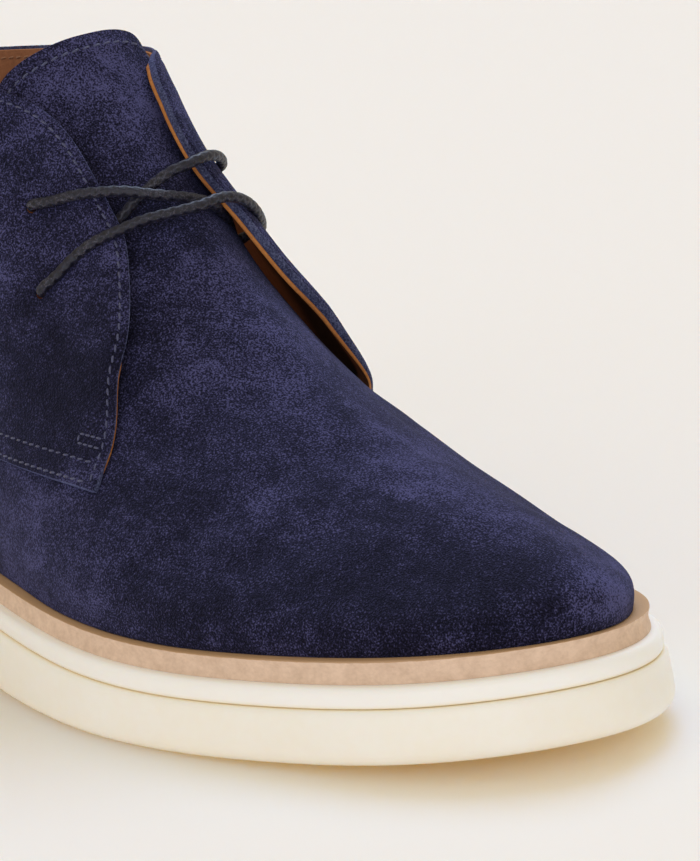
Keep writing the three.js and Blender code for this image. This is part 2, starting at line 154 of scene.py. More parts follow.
def make_mesh(name: str, points: Array, faces: list[Array],
              marks: list[int] | None = None) -> bpy.types.Object:
    """Mesh object from points and groups of faces.

    Args:
        name: The piece's name.
        points: Vertices in metres, one row each.
        faces: Arrays of triangles or quads, one array per group.
        marks: Material slot of each group; all 0 when left out.

    Returns:
        The new object, smooth shaded with sharp edges kept where it folds.
    """
    mesh = bpy.data.meshes.new(name)
    corners = np.concatenate([f.ravel() for f in faces]).astype(np.int32)
    totals = np.concatenate([np.full(len(f), f.shape[1]) for f in faces]).astype(np.int32)
    starts = np.concatenate([[0], np.cumsum(totals)[:-1]]).astype(np.int32)
    mesh.vertices.add(len(points))
    mesh.vertices.foreach_set("co", np.asarray(points, dtype=np.float32).ravel())
    mesh.loops.add(len(corners))
    mesh.loops.foreach_set("vertex_index", corners)
    mesh.polygons.add(len(totals))
    mesh.polygons.foreach_set("loop_start", starts)
    mesh.polygons.foreach_set("loop_total", totals)
    if marks is not None:
        slots = np.concatenate([np.full(len(f), m) for f, m in zip(faces, marks)]).astype(np.int32)
        mesh.polygons.foreach_set("material_index", slots)
    mesh.polygons.foreach_set("use_smooth", np.ones(len(totals), dtype=bool))
    mesh.update(calc_edges=True)
    mesh.validate()
    mesh.set_sharp_from_angle(angle=SHARP_ANGLE)
    piece = bpy.data.objects.new(name, mesh)
    bpy.context.scene.collection.objects.link(piece)
    return piece


def grid_quads(rows: int, columns: int, wrap: bool = False, start: int = 0) -> Array:
    """Quads over a grid of points stored row by row."""
    j, i = np.meshgrid(np.arange(rows - 1), np.arange(columns if wrap else columns - 1), indexing="ij")
    a = j * columns + i
    b = j * columns + (i + 1) % columns
    return start + np.stack([a, b, b + columns, a + columns], axis=-1).reshape(-1, 4)


def loop_cap(count: int, start: int, upwards: bool) -> list[Array]:
    """Strip of quads across one loop, pairing each point with the one on the other side."""
    half = count // 2
    k = np.arange(1, half - 1)
    quads = np.stack([k, k + 1, count - k - 1, count - k], axis=-1)
    ends = np.array([[0, 1, count - 1], [half - 1, half, half + 1]])
    order = slice(None) if upwards else slice(None, None, -1)
    return [start + quads[:, order], start + ends[:, order]]


def stacked_solid(name: str, loops: Array) -> bpy.types.Object:
    """Closed body from stacked loops, counted anticlockwise from above, lowest first.

    Args:
        name: The piece's name.
        loops: Points as (loop, around, xyz).

    Returns:
        The new object.
    """
    count = loops.shape[1]
    sides = grid_quads(len(loops), count, wrap=True)
    top = (len(loops) - 1) * count
    caps = [*loop_cap(count, 0, False), *loop_cap(count, top, True)]
    return make_mesh(name, loops.reshape(-1, 3), [sides, *caps])


def thick_sheet(name: str, outer: Array, inner: Array, rim: int = 4, bulge: float = 0.22) -> bpy.types.Object:
    """Closed sheet between two grids of the same size, with slightly rounded cut edges.

    Args:
        name: The piece's name.
        outer: Outer face as (row, column, xyz).
        inner: Inner face, the same shape.
        rim: Steps across the cut edge.
        bulge: How far the cut edge rounds out, as a share of the thickness.

    Returns:
        The new object; slot 0 is the outer face, 1 the cut edge and 2 the inner face.
    """
    rows, columns = outer.shape[:2]
    layer = rows * columns
    index = np.arange(layer).reshape(rows, columns)
    border = np.concatenate([index[0, :-1], index[:-1, -1], index[-1, :0:-1], index[:0:-1, 0]])
    flat_outer, flat_inner = outer.reshape(-1, 3), inner.reshape(-1, 3)
    inside = np.concatenate([index[1, :-1], index[:-1, -2], index[-2, :0:-1], index[:0:-1, 1]])
    outward = flat_outer[border] - flat_outer[inside]
    outward /= np.linalg.norm(outward, axis=1, keepdims=True) + 1e-12
    thickness = np.linalg.norm(flat_outer[border] - flat_inner[border], axis=1, keepdims=True)
    shares = np.arange(1, rim) / rim
    rims = [
        mix(flat_outer[border], flat_inner[border], s) + outward * thickness * bulge * math.sin(math.pi * s)
        for s in shares
    ]
    points = np.concatenate([flat_outer, flat_inner, *rims])
    around = len(border)
    bands = [border, *(2 * layer + k * around + np.arange(around) for k in range(rim - 1)), layer + border]
    edge = np.concatenate([
        np.stack([a, np.roll(a, -1), np.roll(b, -1), b], axis=-1) for b, a in zip(bands, bands[1:])
    ])
    front = grid_quads(rows, columns)
    back = grid_quads(rows, columns, start=layer)[:, ::-1]
    return make_mesh(name, points, [front, edge, back], [0, 1, 2])


def tube_along(path: Array, radius: Array | float, facets: int,
               relief: Array | None = None) -> tuple[Array, list[Array]]:
    """Points and faces of a closed tube.

    Args:
        path: Points of the tube's middle line.
        radius: Radius, one value or one per point.
        facets: Points around.
        relief: Height added to the radius, as (point, around).

    Returns:
        The points and the faces.
    """
    along = np.gradient(path, axis=0)
    along /= np.linalg.norm(along, axis=1, keepdims=True)
    side = np.empty_like(path)
    start = np.cross(along[0], [0.0, 0.0, 1.0])
    if np.linalg.norm(start) < 1e-6:
        start = np.array([1.0, 0.0, 0.0])
    side[0] = start / np.linalg.norm(start)
    for k in range(1, len(path)):
        turned = side[k - 1] - along[k] * np.dot(side[k - 1], along[k])
        side[k] = turned / np.linalg.norm(turned)
    other = np.cross(along, side)
    angle = 2 * np.pi * np.arange(facets) / facets
    reach = np.broadcast_to(np.asarray(radius, dtype=float).reshape(-1, 1), (len(path), facets))
    if relief is not None:
        reach = reach + relief
    ring = side[:, None, :] * np.cos(angle)[None, :, None] + other[:, None, :] * np.sin(angle)[None, :, None]
    points = path[:, None, :] + ring * reach[..., None]
    last = (len(path) - 1) * facets
    faces = [grid_quads(len(path), facets, wrap=True)]
    faces += loop_cap(facets, 0, False) + loop_cap(facets, last, True)
    return points.reshape(-1, 3), faces


def join_parts(name: str, parts: list[tuple[Array, list[Array]]]) -> bpy.types.Object:
    """One mesh object from many small bodies."""
    points, quads, triangles, start = [], [], [], 0
    for body, faces in parts:
        points.append(body)
        for group in faces:
            (quads if group.shape[1] == 4 else triangles).append(group + start)
        start += len(body)
    return make_mesh(name, np.concatenate(points), [np.concatenate(quads), np.concatenate(triangles)])


def dress(piece: bpy.types.Object, *materials: bpy.types.Material) -> None:
    """Gives a piece its materials, one per slot, in place of any it has."""
    slots = np.empty(len(piece.data.polygons), dtype=np.int32)
    piece.data.polygons.foreach_get("material_index", slots)
    piece.data.materials.clear()
    for material in materials:
        piece.data.materials.append(material)
    piece.data.polygons.foreach_set("material_index", np.minimum(slots, len(materials) - 1))


# ---------------------------------------------------------------------------------------------- sole line


@dataclass(frozen=True)
class Ring:
    """One ring of a sole layer.

    Attributes:
        inset: Distance in from the sole's outline.
        share: Share of the layer's height.
        lift: Height added to it.
    """

    inset: float
    share: float
    lift: float = 0.0


@dataclass
class SoleShape:
    """Outline of the sole and the height lines of its layers, all in millimetres."""

    length: float = 302.0
    stations: Sequence[float] = (0.035, 0.17, 0.395, 0.635, 0.835, 0.955)
    lateral: Sequence[float] = (22.0, 39.1, 43.6, 64.6, 47.8, 33.2)
    medial: Sequence[float] = (22.0, 39.0, 38.0, 54.0, 49.8, 33.9)
    tip: float = 3.2
    spring_start: float = 197.0
    spring_lift: float = 6.5
    arch: Sequence[float] = (84.0, 158.0)
    arch_lift: float = 2.6
    outsole_heights: Sequence[float] = (15.9, 11.7)
    thinning: Sequence[float] = (75.0, 225.0)
    midsole_height: float = 4.8
    welt_height: float = 4.7
    origin: Array = field(default_factory=lambda: np.zeros(3))

    def shares(self) -> list[float]:
        """Places of the controls along the length, with ends that make the curve reach 0 and 1."""
        s = self.stations
        return [-s[0] / 2, *s, (6 - 2 * s[-1]) / 4]

    def controls(self, at: Callable[[float, float], Sequence[float]], lateral: Sequence[float],
                 medial: Sequence[float], tip: float) -> Array:
        """Fourteen controls of a closed loop around the foot.

        Args:
            at: Point for a share of the length and a sideways place.
            lateral: Six half widths of the lateral side, from the heel.
            medial: Six half widths of the medial side.
            tip: Sideways place of the toe's middle.

        Returns:
            The controls: back, lateral side, toe, then the medial side back to the heel.
        """
        s = self.shares()
        outer = [at(s[k + 1], -w) for k, w in enumerate(lateral)]
        inner = [at(s[k + 1], w) for k, w in enumerate(medial)]
        return np.array([at(s[0], 0.0), *outer, at(s[7], tip), *inner[::-1]], dtype=float)

    @staticmethod
    def closed(controls: Array, u: Array) -> Array:
        """Points of a closed spline over its controls, for laps u."""
        n = len(controls)
        t = (u % 1.0) * n
        first = np.floor(t).astype(int)
        weights = spline_weights(t - first)
        return sum(w[..., None] * controls[(first + k - 1) % n] for k, w in enumerate(weights))

    def outline(self, inset: float, count: int) -> Array:
        """The sole's outline moved inwards by a distance, as count points."""
        loop = self.controls(lambda s, y: (s * self.length, y), self.lateral, self.medial, self.tip)
        u = np.arange(count) / count
        step = 0.5 / 84
        along = self.closed(loop, u + step) - self.closed(loop, u - step)
        inward = np.stack([-along[:, 1], along[:, 0]], axis=-1)
        inward /= np.linalg.norm(inward, axis=1, keepdims=True)
        return self.closed(loop, u) + inward * inset

    def spring(self, x: Array) -> Array:
        """Rise of the toe."""
        reach = np.maximum(0, (x - self.spring_start) / (self.length - self.spring_start))
        return self.spring_lift * reach**2

    def ground(self, x: Array) -> Array:
        """Underside of the outsole: level, with the arch and the toe's rise."""
        across = np.clip((x - self.arch[0]) / (self.arch[1] - self.arch[0]), 0, 1)
        return self.spring(x) + self.arch_lift * np.sin(np.pi * across) ** 2

    def outsole_top(self, x: Array) -> Array:
        """Upper face of the outsole."""
        t = smooth((x - self.thinning[0]) / (self.thinning[1] - self.thinning[0]))
        return self.spring(x) + mix(self.outsole_heights[0], self.outsole_heights[1], t)

    def midsole_top(self, x: Array) -> Array:
        """Upper face of the midsole."""
        return self.outsole_top(x) + self.midsole_height

    def welt_top(self, x: Array) -> Array:
        """Upper face of the welt."""
        return self.midsole_top(x) + self.welt_height

    def to_frame(self, points: Array) -> Array:
        """Design millimetres to metres in the CAD frame."""
        return (points + self.origin) * MM

    def settle(self) -> None:
        """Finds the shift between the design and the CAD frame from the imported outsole."""
        low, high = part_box("outsole")
        edge = self.outline(0.0, 840)
        middle = (edge.min(axis=0) + edge.max(axis=0)) / 2
        centre = (low + high) / 2 / MM
        self.origin = np.array([centre.x - middle[0], centre.y - middle[1], low.z / MM])


# ---------------------------------------------------------------------------------------------- the last


def last_row(back: float, back_rise: float, front: float, front_rise: float, lateral: Sequence[float],
             medial: Sequence[float], tip: float) -> dict:
    """One loop of the last: its ends, their rise over the welt, and the half widths of its sides."""
    return {
        "back": back, "back_rise": back_rise, "front": front, "front_rise": front_rise,
        "lateral": lateral, "medial": medial, "tip": tip,
    }


LAST_ROWS = (
    last_row(7.0, 0.3, 295.5, 0.3, (32.0, 36.5, 57.8, 41.5, 26.5), (32.0, 31.5, 47.0, 43.0, 27.0), 3),
    last_row(5.0, 9, 296.3, 6, (33.5, 38.0, 58.6, 42.5, 27.0), (33.5, 33.0, 48.5, 44.5, 28.0), 3),
    last_row(4.0, 20, 293.5, 11, (33.5, 37.5, 56.5, 36.5, 20.0), (33.5, 33.5, 47.5, 38.5, 20.0), 3),
    last_row(5.0, 31, 281, 17.7, (32.0, 36.5, 51.5, 32.5, 14.5), (32.0, 33.5, 45.0, 34.0, 15.5), 3),
    last_row(7.0, 43, 253, 27.6, (30.5, 35.0, 43.5, 31.0, 13.5), (30.5, 33.0, 40.5, 30.5, 13.5), 2.5),
    last_row(10.0, 55, 223, 38, (29.5, 34.5, 38.5, 29.5, 13.5), (29.5, 33.0, 36.5, 28.5, 13.0), 2),
    last_row(12.0, 67, 196, 52, (28.5, 34.0, 36.0, 28.0, 13.5), (28.5, 33.0, 34.5, 26.5, 12.6), 1.5),
    last_row(13.0, 78, 175, 68, (28.0, 34.0, 35.0, 26.5, 13.5), (28.0, 33.0, 33.5, 24.5, 11.8), 1),
    last_row(13.0, 88, 159, 84.5, (27.5, 34.0, 34.5, 26.0, 13.5), (27.5, 33.5, 33.0, 23.0, 11.2), 0.5),
    last_row(13.0, 98, 146, 100, (27.5, 34.5, 35.0, 26.0, 14.0), (27.5, 34.0, 33.5, 22.5, 10.8), 0),
    last_row(12.0, 108, 135.5, 115, (27.5, 35.0, 35.5, 26.5, 14.5), (27.5, 35.0, 34.0, 23.0, 11.0), 0),
    last_row(11.0, 118, 128.0, 130, (27.5, 35.5, 36.0, 27.0, 15.0), (27.5, 35.5, 34.5, 23.5, 11.5), 0),
)


@dataclass
class Last:
    """The foot form under the upper: u is a lap from the back seam by the lateral side, row the height."""

    sole: SoleShape
    heel_corner: float = 0.55
    net: Array = field(init=False)

    def __post_init__(self) -> None:
        """Builds the control net, with one mirrored row past each end."""
        rows = [self._row(row) for row in LAST_ROWS]
        below = 2 * rows[0] - rows[1]
        above = 2 * rows[-1] - rows[-2]
        self.net = np.stack([below, *rows, above])

    def _row(self, row: dict) -> Array:
        """Controls of one loop, with the rise in z."""

        def at(share: float, y: float) -> tuple[float, float, float]:
            """Point between the loop's two ends."""
            x = mix(row["back"], row["front"], share)
            return x, y, mix(row["back_rise"], row["front_rise"], share)

        lateral, medial = row["lateral"], row["medial"]
        return self.sole.controls(
            at, [lateral[0] * self.heel_corner, *lateral], [medial[0] * self.heel_corner, *medial], row["tip"]
        )

    def point(self, u: Array, row: Array) -> Array:
        """Points of the last's surface in design millimetres."""
        u, row = np.broadcast_arrays(np.asarray(u, dtype=float), np.asarray(row, dtype=float))
        count = self.net.shape[1]
        t = (u % 1.0) * count
        column = np.floor(t).astype(int)
        level = np.clip(np.floor(row), 0, len(LAST_ROWS) - 2).astype(int)
        across, up = spline_weights(t - column), spline_weights(row - level)
        points = np.zeros((*u.shape, 3))
        for a in range(4):
            for b in range(4):
                points += (up[a] * across[b])[..., None] * self.net[level + a, (column + b - 1) % count]
        points[..., 2] += self.sole.welt_top(points[..., 0])
        return points

    def normal(self, u: Array, row: Array) -> Array:
        """Outward normals of the last."""
        top = len(LAST_ROWS) - 1
        around = self.point(u + 0.002, row) - self.point(u - 0.002, row)
        up = self.point(u, np.minimum(top, row + 0.02)) - self.point(u, np.maximum(0, row - 0.02))
        out = np.cross(around, up)
        return out / np.linalg.norm(out, axis=-1, keepdims=True)

    def on(self, u: Array, row: Array, height: Array | float) -> Array:
        """Points over the last at a height along its normal, in metres in the CAD frame."""
        u, row = np.asarray(u, dtype=float), np.asarray(row, dtype=float)
        lift = np.asarray(height, dtype=float)[..., None]
        return self.sole.to_frame(self.point(u, row) + self.normal(u, row) * lift)


def rolling(points: Array, size: float, seed: int) -> Array:
    """Soft uneven relief of about unit height, from waves that run every way.

    Args:
        points: Places in metres.
        size: Width of a swell, in metres.
        seed: Picks the waves.

    Returns:
        One value per point, about -1 to 1.
    """
    draw = np.random.default_rng(seed)
    total = np.zeros(points.shape[:-1])
    for _ in range(9):
        way = draw.normal(size=3)
        way *= draw.uniform(0.6, 1.5) * math.pi / size / np.linalg.norm(way)
        total += np.sin(points @ way + draw.uniform(0, 2 * math.pi))
    return total / 3.2


def reach_to(points: Array, line: Array) -> Array:
    """Distance from each point to the nearest of a line's closely spaced points."""
    flat = points.reshape(-1, 3)
    nearest = np.empty(len(flat))
    for start in range(0, len(flat), 4000):
        block = flat[start:start + 4000]
        gaps = ((block[:, None, :] - line[None, :, :]) ** 2).sum(axis=-1)
        nearest[start:start + 4000] = np.sqrt(gaps.min(axis=1))
    return nearest.reshape(points.shape[:-1])


# ---------------------------------------------------------------------------------------------- finishes


class Board:
    """Short way to lay out the nodes of one material."""

    def __init__(self, name: str) -> None:
        """Starts a material with one surface shader."""
        self.material = bpy.data.materials.new(name)
        self.material.use_nodes = True
        self.tree = self.material.node_tree
        self.tree.nodes.clear()
        output = self.tree.nodes.new("ShaderNodeOutputMaterial")
        self.surface = self.tree.nodes.new("ShaderNodeBsdfPrincipled")
        self.tree.links.new(self.surface.outputs["BSDF"], output.inputs["Surface"])
        self.place = self.tree.nodes.new("ShaderNodeTexCoord").outputs["Object"]

    def set(self, **values: float | Sequence[float]) -> None:
        """Sets sockets of the surface shader; an underscore stands for a space."""
        for name, value in values.items():
            self.surface.inputs[name.replace("_", " ")].default_value = value

    def link(self, source: bpy.types.NodeSocket, name: str) -> None:
        """Links a socket to the surface shader."""
        self.tree.links.new(source, self.surface.inputs[name])

    def stretched(self, scale: Sequence[float],
                  turn: Sequence[float] = (0.0, 0.0, 0.0)) -> bpy.types.NodeSocket:
        """Place on the piece, turned and then stretched."""
        node = self.tree.nodes.new("ShaderNodeMapping")
        node.inputs["Scale"].default_value = scale
        node.inputs["Rotation"].default_value = turn
        self.tree.links.new(self.place, node.inputs["Vector"])
        return node.outputs["Vector"]

    def noise(self, scale: float, detail: float = 3.0, roughness: float = 0.55, distortion: float = 0.0,
              place: bpy.types.NodeSocket | None = None) -> bpy.types.NodeSocket:
        """Cloudy value from 0 to 1; scale is the number of clouds in a metre."""
        node = self.tree.nodes.new("ShaderNodeTexNoise")
        node.inputs["Scale"].default_value = scale
        node.inputs["Detail"].default_value = detail
        node.inputs["Roughness"].default_value = roughness
        node.inputs["Distortion"].default_value = distortion
        self.tree.links.new(place or self.place, node.inputs["Vector"])
        return node.outputs["Fac"]

    def cells(self, scale: float) -> bpy.types.NodeSocket:
        """Distance to the nearest of scattered points."""
        node = self.tree.nodes.new("ShaderNodeTexVoronoi")
        node.inputs["Scale"].default_value = scale
        self.tree.links.new(self.place, node.inputs["Vector"])
        return node.outputs["Distance"]

    def attribute(self, name: str) -> bpy.types.NodeSocket:
        """Value stored on the mesh."""
        node = self.tree.nodes.new("ShaderNodeAttribute")
        node.attribute_name = name
        return node.outputs["Fac"]

    def ramp(self, value: bpy.types.NodeSocket,
             stops: Sequence[tuple[float, Colour]]) -> bpy.types.NodeSocket:
        """Colour by value."""
        node = self.tree.nodes.new("ShaderNodeValToRGB")
        band = node.color_ramp
        while len(band.elements) < len(stops):
            band.elements.new(0.5)
        for element, (place, colour) in zip(band.elements, stops):
            element.position = place
            element.color = (*colour, 1.0)
        self.tree.links.new(value, node.inputs["Fac"])
        return node.outputs["Color"]

    def sum(self, first: bpy.types.NodeSocket, second: bpy.types.NodeSocket | float,
            scale: float = 1.0) -> bpy.types.NodeSocket:
        """First plus second times scale."""
        node = self.tree.nodes.new("ShaderNodeMath")
        node.operation = "MULTIPLY_ADD"
        if isinstance(second, bpy.types.NodeSocket):
            self.tree.links.new(second, node.inputs[0])
        else:
            node.inputs[0].default_value = second
        node.inputs[1].default_value = scale
        self.tree.links.new(first, node.inputs[2])
        return node.outputs["Value"]

    def layered(self, *layers: tuple[bpy.types.NodeSocket, float]) -> bpy.types.NodeSocket:
        """Sum of cloudy values by weight, kept centred on a half."""
        node = self.tree.nodes.new("ShaderNodeValue")
        node.outputs[0].default_value = 0.5 - 0.5 * sum(weight for _, weight in layers)
        total = node.outputs[0]
        for value, weight in layers:
            total = self.sum(total, value, weight)
        return total

    def blend(self, share: bpy.types.NodeSocket, first: bpy.types.NodeSocket,
              second: Colour) -> bpy.types.NodeSocket:
        """First colour, turning into the second where the share is 1."""
        node = self.tree.nodes.new("ShaderNodeMix")
        node.data_type = "RGBA"
        ends = {socket.identifier: socket for socket in (*node.inputs, *node.outputs)}
        self.tree.links.new(share, ends["Factor_Float"])
        self.tree.links.new(first, ends["A_Color"])
        ends["B_Color"].default_value = (*second, 1.0)
        return ends["Result_Color"]

    def relief(self, *layers: tuple[bpy.types.NodeSocket, float, float]) -> None:
        """Bumps the surface by layers of value, strength and depth in metres."""
        normal = None
        for value, strength, depth in layers:
            node = self.tree.nodes.new("ShaderNodeBump")
            node.inputs["Strength"].default_value = strength
            node.inputs["Distance"].default_value = depth
            self.tree.links.new(value, node.inputs["Height"])
            if normal is not None:
                self.tree.links.new(normal, node.inputs["Normal"])
            normal = node.outputs["Normal"]
        self.link(normal, "Normal")


@dataclass(frozen=True)
class Suede:
    """Brushed navy suede: a cloudy nap, with a stored value that adds painted light and shade along with
    lighter and darker patches of the nap itself.
    """

    name: str = "navy_suede"
    dark: Colour = (0.0023, 0.0020, 0.0072)
    middle: Colour = (0.0140, 0.0132, 0.0375)
    light: Colour = (0.078, 0.077, 0.190)
    sheen: float = 0.13
    sheen_tint: Colour = (0.36, 0.40, 0.90)

    def material(self) -> bpy.types.Material:
        """Builds the material."""
        board = Board(self.name)
        board.set(Roughness=0.95, Specular_IOR_Level=0.12, Sheen_Weight=self.sheen, Sheen_Roughness=0.55,
                  Sheen_Tint=(*self.sheen_tint, 1.0))
        clouds = board.noise(26, 2.5, 0.5, 0.6)
        brushed = board.noise(1.0, 3.0, 0.6, 0.4, board.stretched((60, 150, 190), (0.2, 0.5, 0.6)))
        patches = board.noise(150, 3.0, 0.6, 0.3)
        nap = board.noise(1250, 2.0, 0.6)
        fibre = board.noise(2500, 1.0, 0.5)
        tone = board.layered((clouds, 0.8), (brushed, 0.7), (patches, 0.8), (nap, 0.5), (fibre, 2.2))
        # Painted light and shade: the stored value lightens or darkens the tone, partly for the nap's own
        # patches.
        tone = board.sum(tone, board.attribute("nap_and_painted_light"))
        colour = board.ramp(tone, [(0.0, self.dark), (0.50, self.middle), (1.0, self.light)])
        board.link(colour, "Base Color")
        board.relief((board.noise(420, 2.0), 0.30, 0.0006), (nap, 0.6, 0.00035), (fibre, 0.9, 0.00028))
        return board.material


@dataclass(frozen=True)
class Leather:
    """Smooth or raw leather with pores, with near-black painted shade where its depth value says so."""

    name: str
    dark: Colour
    light: Colour
    roughness: float = 0.6
    grain: float = 900.0
    depth: float = 0.00012

    def material(self) -> bpy.types.Material:
        """Builds the material."""
        board = Board(self.name)
        board.set(Roughness=self.roughness, Specular_IOR_Level=0.3)
        tone = board.sum(board.noise(60, 3.0), board.noise(self.grain, 2.0), 0.6)
        colour = board.ramp(tone, [(0.45, self.dark), (1.1, self.light)])
        # Painted shade: the colour turns near black where the stored depth value is 1.
        painted_shade_colour = tuple(0.06 * c for c in self.dark)
        board.link(board.blend(board.attribute("depth"), colour, painted_shade_colour), "Base Color")
        pores, fine = board.cells(self.grain), board.noise(self.grain * 3, 2.0)
        board.relief((pores, 0.5, self.depth), (fine, 0.4, self.depth))
        return board.material


@dataclass(frozen=True)
class WeltLeather:
    """Beige welt: a chalky dyed face under a raw, ragged tan top edge."""

    name: str = "welt_leather"
    face_dark: Colour = (0.66, 0.475, 0.345)
    face_light: Colour = (0.80, 0.595, 0.445)
    raw: Colour = (0.60, 0.37, 0.20)

    def material(self) -> bpy.types.Material:
        """Builds the material."""
        board = Board(self.name)
        board.set(Roughness=0.75, Specular_IOR_Level=0.25)
        fibres = board.noise(1.0, 3.0, 0.6, 0.0, board.stretched((900, 900, 1300)))
        tone = board.sum(board.noise(300, 3.0), fibres, 0.7)
        face = board.ramp(board.sum(tone, -0.3), [(0.3, self.face_dark), (0.75, self.face_light)])
        ragged = board.sum(board.attribute("raw_edge"), board.noise(330, 3.0, 0.65), 0.75)
        share = board.ramp(board.sum(ragged, -0.37), [(0.54, (0.0, 0.0, 0.0)), (0.66, (1.0, 1.0, 1.0))])
        board.link(board.blend(share, face, self.raw), "Base Color")
        board.relief((fibres, 0.5, 0.00025), (board.noise(2400, 2.0), 0.5, 0.0001))
        return board.material


@dataclass(frozen=True)
class Rubber:
    """Cream rubber, satin, a shade warmer down in the joint between its layers."""

    name: str = "cream_rubber"
    body: Colour = (0.975, 0.925, 0.815)
    pale: Colour = (0.99, 0.965, 0.895)
    joint: Colour = (0.95, 0.80, 0.52)
    roughness: float = 0.42

    def material(self) -> bpy.types.Material:
        """Builds the material."""
        board = Board(self.name)
        board.set(Roughness=self.roughness, Specular_IOR_Level=0.4, Subsurface_Weight=0.12,
                  Subsurface_Radius=(1.0, 0.6, 0.3), Subsurface_Scale=0.003)
        tone = board.sum(board.noise(45, 2.0), board.noise(420, 2.0), 0.35)
        colour = board.ramp(board.sum(tone, -0.17), [(0.3, self.body), (0.75, self.pale)])
        board.link(board.blend(board.attribute("joint"), colour, self.joint), "Base Color")
        board.relief((board.noise(900, 3.0), 0.12, 0.0002), (board.noise(120, 2.0), 0.15, 0.0006))
        return board.material


@dataclass(frozen=True)
class WaxedCord:
    """Braided cotton cord with a thin coat of wax, lighter on the braid's crests: partly wear, partly painted
    highlight.
    """

    name: str = "waxed_cord"
    dark: Colour = (0.0035, 0.0033, 0.0075)
    light: Colour = (0.0125, 0.0120, 0.0265)
    wear_and_crest_highlight: Colour = (0.060, 0.058, 0.082)

    def material(self) -> bpy.types.Material:
        """Builds the material."""
        board = Board(self.name)
        board.set(Roughness=0.45, Specular_IOR_Level=0.34, Coat_Weight=0.08, Coat_Roughness=0.3)
        tone = board.layered((board.noise(900, 3.0), 1.0), (board.noise(2600, 2.0), 0.8))
        # Painted highlight: the braid's crests are lighter in colour.
        plait = board.sum(tone, board.attribute("crown"), 0.22)
        colour = board.ramp(plait, [(0.25, self.dark), (0.75, self.light)])
        # Wear and painted highlight: lighter spots gather on the crests.
        rubbed_and_lit_crests = board.layered((board.noise(170, 2.0), 0.8), (board.noise(3200, 1.0), 1.6))
        share = board.ramp(board.sum(rubbed_and_lit_crests, board.attribute("crown"), 0.18),
                           [(0.70, (0.0, 0.0, 0.0)), (0.95, (1.0, 1.0, 1.0))])
        board.link(board.blend(share, colour, self.wear_and_crest_highlight), "Base Color")
        board.relief((board.noise(3800, 2.0), 0.5, 0.00008))
        return board.material


@dataclass(frozen=True)
class Thread:
    """Twisted sewing thread."""

    name: str
    dark: Colour
    light: Colour

    def material(self) -> bpy.types.Material:
        """Builds the material."""
        board = Board(self.name)
        board.set(Roughness=0.55, Specular_IOR_Level=0.4, Sheen_Weight=0.2, Sheen_Roughness=0.5)
        strands = board.noise(5200, 2.0)
        board.link(board.ramp(strands, [(0.3, self.dark), (0.7, self.light)]), "Base Color")
        board.relief((strands, 0.5, 0.0001))
        return board.material


@dataclass(frozen=True)
class Paper:
    """Seamless studio paper with a faint warm glow of its own, a painted glow that warms the shadows on it.
    """

    name: str = "studio_paper"
    light: Colour = (0.835, 0.845, 0.833)

    def material(self) -> bpy.types.Material:
        """Builds the material."""
        board = Board(self.name)
        # Painted glow: the warm emission lifts the paper everywhere and shows most in its shadows.
        board.set(Roughness=0.9, Specular_IOR_Level=0.05, Subsurface_Weight=1.0,
                  Subsurface_Radius=(1.0, 0.5, 0.2), Subsurface_Scale=0.05,
                  Emission_Color=(1.0, 0.5, 0.03, 1.0), Emission_Strength=0.115)
        board.surface.subsurface_method = "BURLEY"
        shade = tuple(0.997 * c for c in self.light)
        board.link(board.ramp(board.noise(3.0, 2.0), [(0.4, shade), (0.6, self.light)]), "Base Color")
        board.relief((board.noise(300, 2.0), 0.02, 0.0002))
        return board.material


class Finishes:
    """Every finish of the boot, made once."""

    def __init__(self) -> None:
        """Builds the materials."""
        self.suede = Suede().material()
        # Cut edges: the raw edge's own lighter fibres, made lighter still as a painted highlight along the
        # lit edges.
        self.cut_suede_with_highlight = Suede("cut_suede_with_highlight", (0.020, 0.022, 0.050), (0.050, 0.056, 0.115),
                               (0.105, 0.118, 0.215), 0.3).material()
        self.lining = Leather("tan_lining", (0.22, 0.085, 0.038), (0.36, 0.15, 0.068)).material()
        self.cut_lining = Leather("cut_lining", (0.30, 0.10, 0.025), (0.56, 0.22, 0.055),
                                  0.7, 1800).material()
        self.insole = Leather("insole_leather", (0.33, 0.145, 0.06), (0.50, 0.24, 0.11), 0.5).material()
        self.welt = WeltLeather().material()
        self.rubber = Rubber().material()
        self.ledge = Rubber("ledge_rubber", (0.985, 0.96, 0.90), (0.995, 0.98, 0.94)).material()
        self.cord = WaxedCord().material()
        self.thread = Thread("blue_thread", (0.028, 0.030, 0.075), (0.090, 0.098, 0.20)).material()
        self.lining_thread = Thread("tan_thread", (0.20, 0.085, 0.04), (0.36, 0.17, 0.08)).material()
        self.paper = Paper().material()


# ---------------------------------------------------------------------------------------------- studio


def towards(azimuth: float, elevation: float) -> Vector:
    """Direction from the boot to a place given by two angles in degrees."""
    a, e = math.radians(azimuth), math.radians(elevation)
    return Vector((math.sin(a) * math.cos(e), -math.cos(a) * math.cos(e), math.sin(e)))


@dataclass
class View:
    """The camera, level with the toe and looking along the lateral side."""

    azimuth: float = 54.695
    elevation: float = 12.218
    roll: float = -4.09
    distance: float = 0.9432
    aim: Sequence[float] = (0.0762, -0.0021, 0.0614)
    lens: float = 185.8

    def build(self) -> None:
        """Makes the camera and sets it as the scene's own."""
        r = math.radians(self.roll)
        back = towards(self.azimuth, self.elevation)
        level = Vector((0, 0, 1)).cross(back).normalized()
        upright = back.cross(level)
        right = level * math.cos(r) + upright * math.sin(r)
        up = upright * math.cos(r) - level * math.sin(r)
        data = bpy.data.cameras.new("camera")
        data.lens = self.lens
        data.sensor_width = 36.0
        data.clip_start, data.clip_end = 0.05, 30.0
        camera = bpy.data.objects.new("camera", data)
        eye = Vector(self.aim) + back * self.distance
        camera.matrix_world = Matrix.Translation(eye) @ Matrix((right, up, back)).transposed().to_4x4()
        bpy.context.scene.collection.objects.link(camera)
        bpy.context.scene.camera = camera


